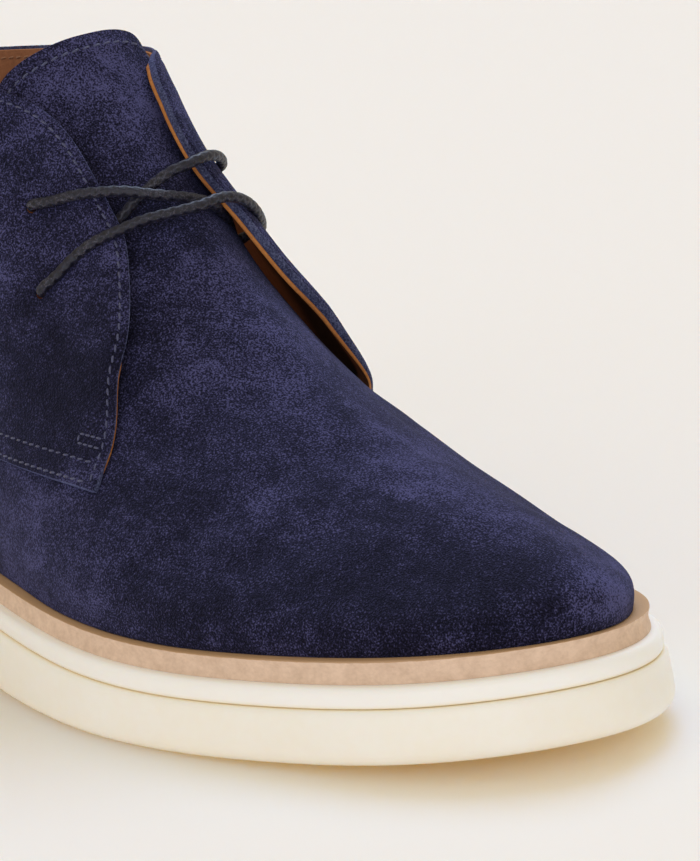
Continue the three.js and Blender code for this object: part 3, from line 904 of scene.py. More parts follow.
@dataclass
class Lamp:
    """One distant soft lamp, placed by where its light comes from."""

    name: str
    azimuth: float
    elevation: float
    strength: float
    colour: Colour
    spread: float

    def build(self) -> None:
        """Hangs the lamp; azimuth is counted as for the camera."""
        data = bpy.data.lights.new(self.name, "SUN")
        data.energy = self.strength
        data.color = self.colour
        data.angle = math.radians(self.spread)
        lamp = bpy.data.objects.new(self.name, data)
        back = towards(self.azimuth, self.elevation)
        lamp.rotation_mode = "QUATERNION"
        lamp.rotation_quaternion = back.to_track_quat("Z", "Y")
        lamp.location = back * 2
        bpy.context.scene.collection.objects.link(lamp)


@dataclass
class Studio:
    """Pale paper floor, an even tent of light and two soft lamps."""

    tent: Colour = (0.635, 0.575, 0.458)
    half_width: float = 9.0
    lamps: Sequence[Lamp] = (
        Lamp("key_lamp", 225.0, 55.0, 1.7, (0.55, 0.70, 1.0), 30.0),
        Lamp("fill_lamp", 40.0, 8.0, 1.0, (0.72, 0.79, 1.0), 50.0),
    )

    def build(self, paper: bpy.types.Material) -> None:
        """Makes the floor, the surrounding light and the lamps."""
        world = bpy.data.worlds.new("tent")
        world.use_nodes = True
        world.node_tree.nodes["Background"].inputs["Color"].default_value = (*self.tent, 1.0)
        bpy.context.scene.world = world
        bpy.context.scene.view_settings.view_transform = "Standard"
        for lamp in self.lamps:
            lamp.build()
        w = self.half_width
        corners = np.array([(-w, -w, 0), (w, -w, 0), (w, w, 0), (-w, w, 0)])
        floor = make_mesh("floor", corners, [np.array([[0, 1, 2, 3]])])
        dress(floor, paper)


# ---------------------------------------------------------------------------------------------- building


def fit(piece: bpy.types.Object, slot: str, *nodes: str) -> None:
    """Puts a finished piece on the boot.

    Args:
        piece: The piece, in its place in the CAD frame.
        slot: Not used.
        nodes: CAD nodes that it stands for.
    """
    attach(piece, "root")
    if nodes:
        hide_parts(*nodes)
    stands_for = ", ".join(nodes) or "itself"
    LOG.info("%s: %d faces, stands for %s", piece.name, len(piece.data.polygons), stands_for)


def cut_away(piece: bpy.types.Object, tool: bpy.types.Object) -> None:
    """Cuts a tool's bodies out of a piece and removes the tool."""
    cut = piece.modifiers.new("cut", "BOOLEAN")
    cut.operation = "DIFFERENCE"
    cut.solver = "EXACT"
    cut.object = tool
    ready = piece.evaluated_get(bpy.context.evaluated_depsgraph_get())
    old = piece.data
    piece.data = bpy.data.meshes.new_from_object(ready)
    piece.modifiers.clear()
    piece.data.name = piece.name
    bpy.data.meshes.remove(old)
    bpy.data.objects.remove(tool)
    piece.data.set_sharp_from_angle(angle=SHARP_ANGLE)


def store(piece: bpy.types.Object, name: str, values: Array) -> None:
    """Keeps one value per vertex on a piece for its finish."""
    layer = piece.data.attributes.new(name, "FLOAT", "POINT")
    layer.data.foreach_set("value", np.asarray(values, dtype=np.float32).ravel())


def points_of(piece: bpy.types.Object) -> Array:
    """Vertices of a piece, one row each."""
    flat = np.empty(3 * len(piece.data.vertices))
    piece.data.vertices.foreach_get("co", flat)
    return flat.reshape(-1, 3)


@dataclass
class Needle:
    """One kind of sewn row: sizes in millimetres."""

    pitch: float = 2.5
    length: float = 1.9
    radius: float = 0.26
    slant: float = 0.16
    crown: float = 0.10
    sink: float = 0.5

    def sew(self, line: Array, out: Array) -> list[tuple[Array, list[Array]]]:
        """Stitches along a line.

        Args:
            line: Points on the sewn surface, in metres.
            out: Outward direction at each of them.

        Returns:
            The bodies of the stitches.
        """
        steps = np.linalg.norm(np.diff(line, axis=0), axis=1)
        run = np.concatenate([[0.0], np.cumsum(steps)]) / MM
        count = max(1, int(round(run[-1] / self.pitch)))
        pitch = run[-1] / count
        share = np.linspace(-1.0, 1.0, 7)
        parts = []
        for k in range(count):
            places = (k + 0.5) * pitch + share * self.length / 2
            path = np.stack([np.interp(places, run, line[:, a]) for a in range(3)], axis=-1)
            normal = np.stack([np.interp(places, run, out[:, a]) for a in range(3)], axis=-1)
            normal /= np.linalg.norm(normal, axis=1, keepdims=True)
            side = np.cross(normal, path[-1] - path[0])
            side /= np.linalg.norm(side, axis=1, keepdims=True) + 1e-12
            lift = self.crown - self.sink * np.abs(share) ** 3
            path = path + (normal * lift[:, None] + side * (self.slant * share)[:, None]) * MM
            radius = self.radius * (1 - 0.35 * share**4) * MM
            parts.append(tube_along(path, radius, 6))
        return parts


# ---------------------------------------------------------------------------------------------- sole


# The six sides of a box, from its lower four corners and then its upper four.
BOX_SIDES = np.array([[0, 3, 2, 1], [4, 5, 6, 7], [0, 1, 5, 4], [1, 2, 6, 5], [2, 3, 7, 6], [3, 0, 4, 7]])


@dataclass
class Sole:
    """Outsole, midsole and welt."""

    shape: SoleShape
    finishes: Finishes
    around: int = 420
    outsole: Sequence[Ring] = (
        Ring(6.0, 0), Ring(2.4, 0), Ring(1.35, 0, 0.22), Ring(0.7, 0, 0.7), Ring(0.25, 0, 1.5),
        Ring(0.03, 0, 2.6), Ring(0.12, 0.35), Ring(0.45, 0.55), Ring(0.85, 0.8), Ring(1.05, 1, -1.5),
        Ring(1.22, 1, -0.9), Ring(1.5, 1, -0.42), Ring(1.9, 1, -0.14), Ring(2.4, 1, -0.02),
        Ring(3.2, 1, 0), Ring(7.0, 1, 0),
    )
    midsole: Sequence[Ring] = (
        Ring(7.0, 0, 0.02), Ring(2.9, 0, 0.02), Ring(2.35, 0, 0.12), Ring(2.05, 0, 0.45), Ring(1.9, 0, 1.1),
        Ring(1.8, 0.45), Ring(1.84, 0.66), Ring(1.98, 1, -1.2), Ring(2.25, 1, -0.66), Ring(2.7, 1, -0.28),
        Ring(3.4, 1, -0.08), Ring(4.3, 1, 0), Ring(8.0, 1, 0),
    )
    welt: Sequence[Ring] = (
        Ring(8.0, 0, 0.03), Ring(4.3, 0, 0.03), Ring(4.36, 0, 0.5), Ring(4.62, 0.3), Ring(4.76, 0.5),
        Ring(4.7, 0.72), Ring(4.45, 1, -0.55), Ring(4.36, 1, -0.28), Ring(4.42, 1, -0.08),
        Ring(4.7, 1, 0), Ring(5.6, 1, 0.02), Ring(6.8, 1, 0), Ring(11.0, 1, 0),
    )
    tread_rim: float = 9.0
    tread_depth: float = 2.5
    groove: float = 3.2
    pitch: float = 11.0
    heel_end: float = 76.0
    fore_start: float = 164.0

    def _layer(self, name: str, rings: Sequence[Ring], lower: Callable[[Array], Array],
               upper: Callable[[Array], Array]) -> bpy.types.Object:
        """Builds one layer from its rings between two height lines."""
        loops = []
        for ring in rings:
            edge = self.shape.outline(ring.inset, self.around)
            height = mix(lower(edge[:, 0]), upper(edge[:, 0]), ring.share) + ring.lift
            loops.append(np.column_stack([edge, height]))
        return stacked_solid(name, self.shape.to_frame(np.array(loops)))

    def _mark(self, piece: bpy.types.Object, name: str, values: Sequence[float]) -> None:
        """Stores one value per ring on a layer."""
        store(piece, name, np.repeat(values, self.around))

    def _tread(self) -> bpy.types.Object:
        """Bars that cut the grooves across the tread, kept inside its plain rim."""
        edge = self.shape.outline(self.tread_rim, self.around)
        half = self.around // 2
        lateral, medial = edge[: half + 1], np.vstack([edge[half:], edge[:1]])[::-1]
        bars = []
        x = self.pitch * 1.5
        while x < self.shape.length - self.tread_rim - self.groove:
            if not self.heel_end < x < self.fore_start:
                ends = np.array([x - self.groove / 2, x + self.groove / 2])
                low = np.interp(ends, lateral[:, 0], lateral[:, 1])
                high = np.interp(ends, medial[:, 0], medial[:, 1])
                floor = self.shape.ground(ends)
                corners = [
                    (ends[i], side[i], floor[i] + lift)
                    for lift in (-1.5, self.tread_depth)
                    for side, i in ((low, 0), (low, 1), (high, 1), (high, 0))
                ]
                bars.append(self.shape.to_frame(np.array(corners)))
            x += self.pitch
        faces = np.concatenate([BOX_SIDES + 8 * k for k in range(len(bars))])
        return make_mesh("tread_bars", np.concatenate(bars), [faces])

    def build(self) -> None:
        """Makes the three layers."""
        s = self.shape
        outsole = self._layer("boot_outsole", self.outsole, s.ground, s.outsole_top)
        self._mark(outsole, "joint", [0.0] * 12 + [0.25, 0.8, 1.0, 1.0])
        cut_away(outsole, self._tread())
        dress(outsole, self.finishes.rubber)
        fit(outsole, "outsole", "outsole")
        midsole = self._layer("boot_midsole", self.midsole, s.outsole_top, s.midsole_top)
        self._mark(midsole, "joint", [1.0, 1.0, 0.8, 0.3] + [0.0] * 9)
        dress(midsole, self.finishes.ledge)
        fit(midsole, "midsole", "midsole")
        welt = self._layer("boot_welt", self.welt, s.midsole_top, s.welt_top)
        self._mark(welt, "raw_edge", [0.0] * 6 + [0.12, 0.34, 0.62, 0.9, 1.0, 1.0, 1.0])
        dress(welt, self.finishes.welt)
        fit(welt, "welt", "welt")


@dataclass
class Insole:
    """Leather insole, slightly dished, inside the upper."""

    last: Last
    finishes: Finishes
    around: int = 168
    wall: float = 2.6
    steps: Sequence[tuple[float, float]] = (
        (14.0, 0.3), (0.0, 0.3), (0.0, 3.0), (0.5, 3.8), (1.5, 4.2), (5.0, 4.0), (10.0, 3.4), (14.0, 3.1),
    )

    def build(self) -> None:
        """Makes the insole from loops of inset and height over the welt."""
        u = np.arange(self.around) / self.around
        loops = []
        for inset, height in self.steps:
            row = min(0.5, height / 9)
            edge = self.last.point(u, row) - self.last.normal(u, row) * (self.wall + inset)
            edge[:, 2] = self.last.sole.welt_top(edge[:, 0]) + height
            loops.append(edge)
        piece = stacked_solid("boot_insole", self.last.sole.to_frame(np.array(loops)))
        dress(piece, self.finishes.insole)
        fit(piece, "insole", "insole")


# ---------------------------------------------------------------------------------------------- upper


@dataclass
class Skin:
    """The stretched surface of the upper: the last with soft swells and listed folds."""

    last: Last
    swell: float = 0.30
    ripple: float = 0.10
    # Each fold: its run over the last as (lap, row), its depth and its width in millimetres.
    folds: Sequence[tuple[Table, float, float]] = (
        (((0.335, 3.1), (0.375, 3.9), (0.43, 4.55), (0.49, 4.75), (0.55, 4.5)), 0.55, 6.0),
        (((0.365, 2.6), (0.42, 3.3), (0.48, 3.6), (0.54, 3.4)), -0.45, 7.0),
        (((0.31, 2.2), (0.35, 2.6), (0.39, 3.2)), 0.45, 6.0),
        (((0.43, 5.5), (0.47, 5.7), (0.52, 5.6)), 0.4, 7.0),
        (((0.45, 6.3), (0.49, 6.2), (0.53, 6.35)), -0.35, 6.0),
        (((0.60, 3.0), (0.63, 3.6), (0.645, 4.2)), 0.45, 7.0),
        (((0.06, 5.4), (0.13, 5.8), (0.2, 5.9)), 0.5, 8.0),
        (((0.94, 5.3), (0.87, 5.8), (0.8, 5.9)), 0.5, 8.0),
    )

    def nap_and_painted_light(self, points: Array, light_and_nap_spots: Table) -> Array:
        """Painted light (above 0) and painted shade (below 0) at points, mixed with the nap's own lighter and
        darker patches; 0 as brushed.

        Args:
            points: Points on the suede.
            light_and_nap_spots: Spots of painted light and shade and of the nap's own tone, as (lap, row,
                width, amount).

        Returns:
            One value per point.
        """
        total = np.zeros(points.shape[:-1])
        for lap, row, width, amount in light_and_nap_spots:
            centre = self.last.on(np.array(lap), np.array(row), 0.0)
            total += amount * bump(np.linalg.norm(points - centre, axis=-1) / MM, width)
        return total

    def relief(self, base: Array) -> Array:
        """Height of the swells and folds at points of the last, in millimetres."""
        lift = self.swell * rolling(base, 0.036, 3) + self.ripple * rolling(base, 0.011, 4)
        for run, depth, width in self.folds:
            line = smooth_run(run, LAP_SCALE, 200)(np.linspace(0, 1, 60))
            gap = reach_to(base, self.last.on(line[:, 0], line[:, 1], 0)) / MM
            lift = lift - depth * bump(gap, width)
        return lift

    def raised(self, u: Array, row: Array, height: Array | float) -> Array:
        """Points at a height over the skin, in metres."""
        base = self.last.on(u, row, 0)
        lift = self.relief(base) + height
        return base + self.last.normal(u, row) * lift[..., None] * MM


@dataclass
class Vamp:
    """Vamp and tongue in one suede shell with a tan leather inside."""

    skin: Skin
    finishes: Finishes
    light_and_nap_spots: Table = ()
    around: int = 420
    rows: int = 150
    thickness: float = 1.9
    # Upper edge as (lap, row); its flanks are hidden under the quarters.
    lateral_flank: Table = ((0, 4.2), (0.30, 4.3), (0.325, 4.6), (0.345, 5.6), (0.358, 7.0), (0.368, 8.6))
    arch: Table = (
        (0.375, 9.4), (0.39, 9.62), (0.411, 9.82), (0.44, 10.0), (0.47, 10.1), (0.506, 10.13),
        (0.536, 10.04), (0.556, 9.84), (0.567, 9.4),
    )
    medial_flank: Table = (
        (0.572, 9.1), (0.58, 8.4), (0.595, 7.2), (0.625, 6.1), (0.66, 4.9), (0.70, 4.3), (1, 4.2),
    )

    def top_row(self, u: Array) -> Array:
        """Row of the upper edge."""
        arch = smooth_run(self.arch, LAP_SCALE)(np.linspace(0, 1, 200))
        line = np.vstack([self.lateral_flank, arch, self.medial_flank])
        return np.interp(u, line[:, 0], line[:, 1])

    def _fall(self, u: Array, row: Array) -> Array:
        """How far the tongue's flanks tuck in, and how far its medial edge leans out."""
        inner = smooth((u - 0.352) / 0.035) * smooth((0.612 - u) / 0.035)
        lean = 2.2 * bump(u - 0.560, 0.036) * smooth((row - 7.9) / 1.3)
        return lean - 0.9 * (1 - inner) * smooth((row - 4.0) / 0.8)

    def _grid(self, height: float, edge_roll: float) -> Array:
        """Loops from the feather edge to the upper edge at a height."""
        u = np.arange(self.around) / self.around
        top = self.top_row(u)
        t = np.linspace(0, 1, self.rows)
        row = t[:, None] * top[None, :]
        lap = np.broadcast_to(u, row.shape)
        roll = -edge_roll * bump((1 - t[:, None]) * top[None, :] * 10, 1.2)
        return self.skin.raised(lap, row, height + self._fall(lap, row) + roll)

    def build(self) -> None:
        """Makes the shell and its sewn edge."""
        outer, inner = self._grid(0.0, 0.45), self._grid(-self.thickness, -0.2)
        u = np.arange(self.around) / self.around
        tuck = self.skin.last.on(u, np.zeros_like(u), -1.0)
        tuck[:, 2] -= 0.7 * MM
        lip = mix(outer[-1], inner[-1], 0.5)
        rise = outer[-1] - outer[-4]
        lip += rise / np.linalg.norm(rise, axis=1, keepdims=True) * 0.25 * MM
        loops = np.concatenate([tuck[None], outer, lip[None], inner[::-1]])
        count = self.around
        bands = grid_quads(len(loops), count, wrap=True)
        k = np.arange(count)
        last = (len(loops) - 1) * count
        closing = np.stack([last + k, last + (k + 1) % count, (k + 1) % count, k], axis=-1)
        levels = np.repeat(np.arange(len(loops) - 1), count)
        rim = self.rows + 1
        faces = [bands[levels < self.rows], bands[(levels >= self.rows) & (levels <= rim)],
                 bands[levels > rim], closing]
        piece = make_mesh("vamp_tongue", loops.reshape(-1, 3), faces, [0, 1, 2, 2])
        # Stores painted light and shade, with the nap's own patches, for the suede finish.
        store(piece, "nap_and_painted_light", self.skin.nap_and_painted_light(points_of(piece), self.light_and_nap_spots))
        dress(piece, self.finishes.suede, self.finishes.cut_suede_with_highlight, self.finishes.lining)
        fit(piece, "suede", "upper", "tongue")

    def stitches(self) -> list[tuple[Array, list[Array]]]:
        """The row sewn along the tongue's arch."""
        lap = np.linspace(0.378, 0.566, 160)
        row = self.top_row(lap)
        slope = np.gradient(row, lap * LAP)
        across = 0.19 / np.sqrt(1 + slope**2)
        lap, row = lap + across * slope / LAP, row - across
        line = self.skin.raised(lap, row, self._fall(lap, row))
        return Needle().sew(line, self.skin.last.normal(lap, row))


@dataclass
class Quarter:
    """One quarter: a suede panel over a tan lining, with its sewn rows and punched holes."""

    side: Side
    skin: Skin
    finishes: Finishes
    hem: Table
    facing: Table
    collar: Table
    flare: Table
    eyelets: Table
    flare_reach: float = 0.12
    seam: float = 0.0006
    columns: int = 170
    rows: int = 110
    outer: float = 2.0
    suede_back: float = 1.1
    lining_back: float = 0.1
    lip: float = 0.0
    length: float = 110.0
    # How far the lining stops short of the facing, as (share up the facing, distance).
    shortfall: Table = ((0.0, 0.6), (0.06, 0.25), (0.36, 0.25), (0.42, 0.8), (1.0, 0.8))
    edge_row: float = 2.0
    light_and_nap_spots: Table = ()
    hem_rows: Sequence[float] = (1.5, 7.6)
    punch: float = 1.6
    lining_punch: float = 2.9

    def __post_init__(self) -> None:
        """Prepares the panel's four edge runs."""
        base, top = self.hem[0][1], self.collar[0][1]
        self._left = smooth_run(((self.seam, base), (self.seam, top)), LAP_SCALE)
        self._right = smooth_run(self.facing, LAP_SCALE)
        self._low = smooth_run(((self.seam, base), *self.hem[1:]), LAP_SCALE)
        self._high = smooth_run(((self.seam, top), *self.collar[1:]), LAP_SCALE)
        s = np.linspace(0, 1, 60)
        grid = self.surface(*np.meshgrid(s, s), self.outer)
        self._widths = np.linalg.norm(np.diff(grid, axis=1), axis=2).sum(axis=1) / MM
        self._heights = np.linalg.norm(np.diff(grid, axis=0), axis=2).sum(axis=0) / MM
        self._shares = s

    def place(self, s: Array, t: Array) -> tuple[Array, Array]:
        """Lap, counted by the lateral side, and row for shares along and up the panel."""
        s1, t1 = s[..., None], t[..., None]
        across = mix(self._low(s), self._high(s), t1)
        along = mix(self._left(t), self._right(t), s1)
        ends = np.array([0.0, 1.0])
        low, high = self._low(ends), self._high(ends)
        corners = mix(mix(low[0], low[1], s1), mix(high[0], high[1], s1), t1)
        spot = across + along - corners
        return self._own_lap(spot[..., 0]), spot[..., 1]

    def _own_lap(self, lap: Array | float) -> Array | float:
        """Lap of the last for a lap counted on the lateral side."""
        return 1 - lap if self.side is Side.MEDIAL else lap

    def _stand(self, s: Array, t: Array) -> Array:
        """How far the panel stands off the tongue near its facing."""
        return smooth((s - 1 + self.flare_reach) / self.flare_reach) * value_at(self.flare, t)

    def _turned_out(self, s: Array, t: Array) -> Array:
        """How far the two layers lean back near the facing, where it stands off."""
        return self.lip * np.clip(self._stand(s, t) / 3.0, 0, 1)

    def surface(self, s: Array, t: Array, height: Array | float) -> Array:
        """Points of the panel at a height over the skin."""
        lap, row = self.place(s, t)
        return self.skin.raised(lap, row, self._stand(s, t) + height)

    def _stand_at(self, lap: Array, row: Array) -> Array:
        """How far the panel stands off at places given by lap and row."""
        shares = np.linspace(0, 1, 220)
        s, t = np.meshgrid(shares, shares)
        laps, rows = self.place(s, t)
        grid = np.stack([laps * LAP, rows], axis=-1).reshape(-1, 2)
        spots = np.stack([lap * LAP, row], axis=-1)
        nearest = [int(np.argmin(((grid - spot) ** 2).sum(axis=1))) for spot in spots]
        return self._stand(s, t).reshape(-1)[nearest]

    def _inset(self, lap: Array, row: Array, distance: float) -> tuple[Array, Array]:
        """Run moved into the panel, square to itself.

        Args:
            lap: Laps of the run, in order from the hem round to the seam.
            row: Its rows.
            distance: Distance to move by.

        Returns:
            The moved laps and rows.
        """
        step = 0.01
        here = self.skin.last.on(lap, row, self.outer)
        along = (self.skin.last.on(lap + step / LAP, row, self.outer) - here) / step
        up = (self.skin.last.on(lap, row + step, self.outer) - here) / step
        out = self.skin.last.normal(lap, row)
        inward = np.cross(out, np.gradient(here, axis=0))
        if self.side is Side.MEDIAL:
            inward = -inward
        inward *= distance * MM / np.linalg.norm(inward, axis=1, keepdims=True)
        (aa, bb, ab) = ((x * y).sum(axis=1) for x, y in ((along, along), (up, up), (along, up)))
        ai, bi = (along * inward).sum(axis=1), (up * inward).sum(axis=1)
        whole = aa * bb - ab**2
        return lap + (ai * bb - bi * ab) / whole / LAP, row + (bi * aa - ai * ab) / whole

    def _share_in(self, t: Array, distance: float) -> Array:
        """Share along the panel at a distance in from the facing."""
        return 1 - distance / np.interp(t, self._shares, self._widths)

    def _share_up(self, s: Array, distance: float) -> Array:
        """Share up the panel at a distance above the hem."""
        return distance / np.interp(s, self._shares, self._heights)

    def _rows(self) -> list[tuple[Array, Array]]:
        """Places of the sewn rows as laps and rows of the last: the border first."""
        border = self.place(np.append(np.ones(160), np.linspace(0.99, 0.006, 160)),
                            np.append(np.linspace(0.02, 1.0, 160), np.ones(160)))
        rows = [self._inset(*border, self.edge_row)]
        along = np.linspace(0.006, 0.985, 160)
        for distance in self.hem_rows:
            rows.append(self.place(along, self._share_up(along, distance)))
        seam = np.linspace(0.03, 0.985, 120)
        rows.append(self.place(np.full_like(seam, 0.016), seam))
        return rows

    def _tack(self) -> list[tuple[Array, Array]]:
        """The small sewn box that holds the foot of the facing."""
        height = self._share_up(np.array(1.0), 1.0)
        low, high = 12.5 * height, 15.6 * height
        rows = []
        for t in (low, high):
            t = np.full(12, float(t))
            rows.append(self.place(self._share_in(t, np.linspace(2.4, 8.2, 12)), t))
        t = np.linspace(low, high, 12)
        rows.append(self.place(self._share_in(t, 8.2), t))
        return rows

    def _laid(self, lap: Array, row: Array, height: float) -> Array:
        """Points of a sewn row at a height over the skin."""
        return self.skin.raised(lap, row, self._stand_at(lap, row) + height)

    def _sheet(self, name: str, s: Array, t: Array, outer: Array, inner: Array) -> bpy.types.Object:
        """Closed sheet over a grid of shares, turned so that its faces look outwards."""
        front, back = self.surface(s, t, outer), self.surface(s, t, inner)
        if self.side is Side.MEDIAL:
            front, back = front[:, ::-1], back[:, ::-1]
        return thick_sheet(name, front, back)

    def _punches(self, radius: float) -> bpy.types.Object:
        """Pins that punch the lace holes."""
        parts = []
        for lap, row in self.eyelets:
            spot = np.array(self._own_lap(lap)), np.array(row)
            centre, out = self.skin.last.on(*spot, 0.0), self.skin.last.normal(*spot)
            path = centre + np.linspace(-3, 12, 4)[:, None] * out * MM
            parts.append(tube_along(path, radius * MM, 26))
        return join_parts("punches", parts)

    def _dents(self, front: Array) -> Array:
        """How far the outer face sinks at its edges, its sewn rows and its holes."""
        border = np.concatenate([front[0], front[:, -1], front[-1]])
        dent = 0.42 * bump(reach_to(front, border) / MM, 0.8)
        for sewn in self._rows()[:3]:
            dent += 0.30 * bump(reach_to(front, self._laid(*sewn, self.outer)) / MM, 0.75)
        for lap, row in self.eyelets:
            hole = self.skin.last.on(np.array([self._own_lap(lap)]), np.array([row]), self.outer)
            dent += 0.5 * bump(reach_to(front, hole) / MM, 3.0)
        return dent

    def _make_suede(self, s: Array, t: Array, front: Array) -> None:
        """Makes the outer panel over a grid of shares with the given outer face."""
        lip = self._turned_out(s, t)
        back = mix(0.2, self.suede_back, smooth(t / 0.1)) - 0.8 * lip
        face = self.outer - self._dents(front) + 0.3 * lip
        suede = self._sheet(f"quarter_{self.side.value}_suede", s, t, face, back)
        cut_away(suede, self._punches(self.punch))
        # Stores painted light and shade, with the nap's own patches, for the suede finish.
        store(suede, "nap_and_painted_light", self.skin.nap_and_painted_light(points_of(suede), self.light_and_nap_spots))
        dress(suede, self.finishes.suede, self.finishes.cut_suede_with_highlight, self.finishes.cut_suede_with_highlight)
        fit(suede, "suede", f"quarter_{self.side.value}")

    def _make_lining(self, s: Array, t: Array, facing: Array) -> None:
        """Makes the lining, with near-black painted shade in the gap beside the points of the facing."""
        lip = self._turned_out(s, t)
        start = mix(0.12, 0.055, smooth((s - 0.9) / 0.1))
        lift = mix(start, 0.988, t)
        reach = s - s * value_at(self.shortfall, lift) / self.length
        lining = self._sheet(
            f"quarter_{self.side.value}_lining", reach, lift, self.suede_back - 0.06 - 0.8 * lip,
            self.lining_back - lip,
        )
        cut_away(lining, self._punches(self.lining_punch))
        # Painted shade: on the medial side the depth value darkens the lining in the shaded gap between the
        # facing and the tongue.
        if self.side is Side.MEDIAL:
            gap = reach_to(points_of(lining), facing) / MM
            store(lining, "depth", smooth((gap - 3.9) / 1.2) * smooth((26 - gap) / 10))
        dress(lining, self.finishes.lining, self.finishes.cut_lining, self.finishes.lining)
        fit(lining, "insole")

    def build(self) -> None:
        """Makes the suede panel and its lining."""
        s, t = np.meshgrid(np.linspace(0, 1, self.columns) ** 0.86, np.linspace(0, 1, self.rows))
        front = self.surface(s, t, self.outer)
        self._make_suede(s, t, front)
        self._make_lining(s, t, front[:, -1])

    def stitches(self) -> list[tuple[Array, list[Array]]]:
        """Every sewn row of the panel's outer face."""
        parts = []
        for row in self._rows():
            parts += Needle().sew(self._laid(*row, self.outer - 0.28), self.skin.last.normal(*row))
        for row in self._tack():
            box = Needle(pitch=1.9, length=1.5, slant=0.05)
            parts += box.sew(self._laid(*row, self.outer - 0.1), self.skin.last.normal(*row))
        return parts

    def lining_stitches(self) -> list[tuple[Array, list[Array]]]:
        """The row that shows inside the collar."""
        s = np.linspace(0.98, 0.004, 160)
        t = 1 - self._share_up(s, 3.2)
        line = self.surface(s, t, self.lining_back - self._turned_out(s, t))
        return Needle().sew(line, -self.skin.last.normal(*self.place(s, t)))


# ---------------------------------------------------------------------------------------------- lace


@dataclass
class Lace:
    """Round braided lace through four holes; its ends stop inside the boot."""

    last: Last
    finishes: Finishes
    radius: float = 1.28
    facets: int = 24
    step: float = 0.22
    braid: float = 0.10
    plait: float = 2.6
    # Its run as (lap, row, height over the last): in by the upper medial hole, across and under the
    # lateral facing, out by the upper lateral hole, under the medial facing, out by the lower medial
    # hole and across to the lower lateral one.
    run: Table = (
        (0.585, 7.9, -2.0), (0.585, 7.9, 0.8), (0.5835, 7.9, 3.2), (0.5719, 7.94, 5.6),
        (0.5462, 8.03, 7.4), (0.5247, 8.06, 8.3), (0.509, 8.04, 8.3), (0.4974, 8.02, 7.4),
        (0.487, 8.02, 6.0), (0.4733, 7.97, 4.6), (0.4584, 7.88, 3.5), (0.4435, 7.76, 2.7),
        (0.4285, 7.61, 1.9), (0.4142, 7.50, 0.9), (0.395, 7.50, -0.8), (0.377, 7.62, -2.4),
        (0.366, 7.69, -2.6), (0.3625, 7.71, -1.0), (0.363, 7.7, 1.2), (0.3665, 7.72, 2.9),
        (0.3808, 7.76, 3.6), (0.4022, 7.83, 4.8), (0.4223, 7.84, 6.0), (0.4414, 7.83, 6.3),
        (0.4592, 7.78, 6.0), (0.4791, 7.74, 5.2), (0.4978, 7.7, 4.2), (0.5235, 7.63, 2.8),
        (0.554, 7.48, 1.2), (0.585, 7.27, -0.8), (0.611, 7.05, -2.4), (0.626, 6.95, -2.6),
        (0.6305, 6.92, -1.0), (0.63, 6.92, 1.2), (0.626, 6.93, 3.0), (0.6133, 6.99, 4.4),
        (0.5814, 7.19, 6.4), (0.5509, 7.39, 7.8), (0.5274, 7.51, 8.3), (0.5094, 7.55, 8.1),
        (0.4904, 7.52, 7.7), (0.4691, 7.5, 7.2), (0.4438, 7.45, 6.8), (0.4215, 7.35, 6.1),
        (0.3984, 7.22, 4.9), (0.3777, 7.03, 3.7), (0.358, 6.76, 3.2), (0.343, 6.55, 2.9),
        (0.3392, 6.5, 1.2), (0.339, 6.5, -1.0), (0.339, 6.5, -3.2),
    )

    def build(self) -> None:
        """Makes the run as one plaited tube."""
        knots = np.asarray(self.run, dtype=float)
        curve = smooth_run(self.last.on(knots[:, 0], knots[:, 1], knots[:, 2]), (1, 1, 1), 4000)
        fine = curve(np.linspace(0, 1, 2000))
        length = np.linalg.norm(np.diff(fine, axis=0), axis=1).sum() / MM
        count = int(length / self.step)
        path = curve(np.linspace(0, 1, count))
        turn = 2 * np.pi * np.linspace(0, length, count)[:, None] / self.plait
        angle = 2 * np.pi * np.arange(self.facets) / self.facets
        crown = np.maximum(np.cos(4 * angle + turn), np.cos(4 * angle - turn))
        core = (self.radius - self.braid) * MM
        piece = join_parts("boot_lace", [tube_along(path, core, self.facets, self.braid * crown * MM)])
        store(piece, "crown", crown)
        dress(piece, self.finishes.cord)
        fit(piece, "lace", "lace")
        LOG.info("lace: %.0f mm long", length)


# ---------------------------------------------------------------------------------------------- the boot


LATERAL_HEM = ((0, 2.35), (0.1, 2.55), (0.2, 3.05), (0.256, 3.3), (0.286, 3.4), (0.301, 3.4))
LATERAL_FACING = (
    (0.301, 3.4), (0.312, 3.9), (0.331, 4.6), (0.355, 5.4), (0.384, 6.1), (0.408, 6.8), (0.4215, 7.3),
    (0.4235, 7.7), (0.4235, 8.1), (0.422, 8.5), (0.417, 8.8), (0.409, 9.02), (0.398, 9.18), (0.385, 9.3),
)
LATERAL_COLLAR = ((0, 9.2), (0.1, 9.25), (0.2, 9.35), (0.3, 9.43), (0.35, 9.42), (0.385, 9.3))
MEDIAL_HEM = ((0, 2.35), (0.1, 2.55), (0.2, 3.05), (0.25, 3.3), (0.268, 3.38), (0.282, 3.4))
MEDIAL_FACING = (
    (0.282, 3.4), (0.301, 3.9), (0.330, 4.6), (0.361, 5.4), (0.392, 6.0), (0.414, 6.4), (0.434, 6.9),
    (0.452, 7.3), (0.47, 7.7), (0.48, 8.1), (0.481, 8.6), (0.477, 9.0), (0.469, 9.3), (0.455, 9.52),
)
MEDIAL_COLLAR = ((0, 9.2), (0.1, 9.25), (0.2, 9.35), (0.3, 9.46), (0.38, 9.58), (0.43, 9.6), (0.455, 9.52))
LATERAL_FLARE = ((0, 0), (0.12, 0), (0.45, 2.6), (0.8, 2.6), (1, 1.6))
MEDIAL_FLARE = ((0, 0), (0.12, 0), (0.4, 3.5), (0.6, 4.1), (0.8, 4.1), (0.9, 4.0), (1, 2.2))
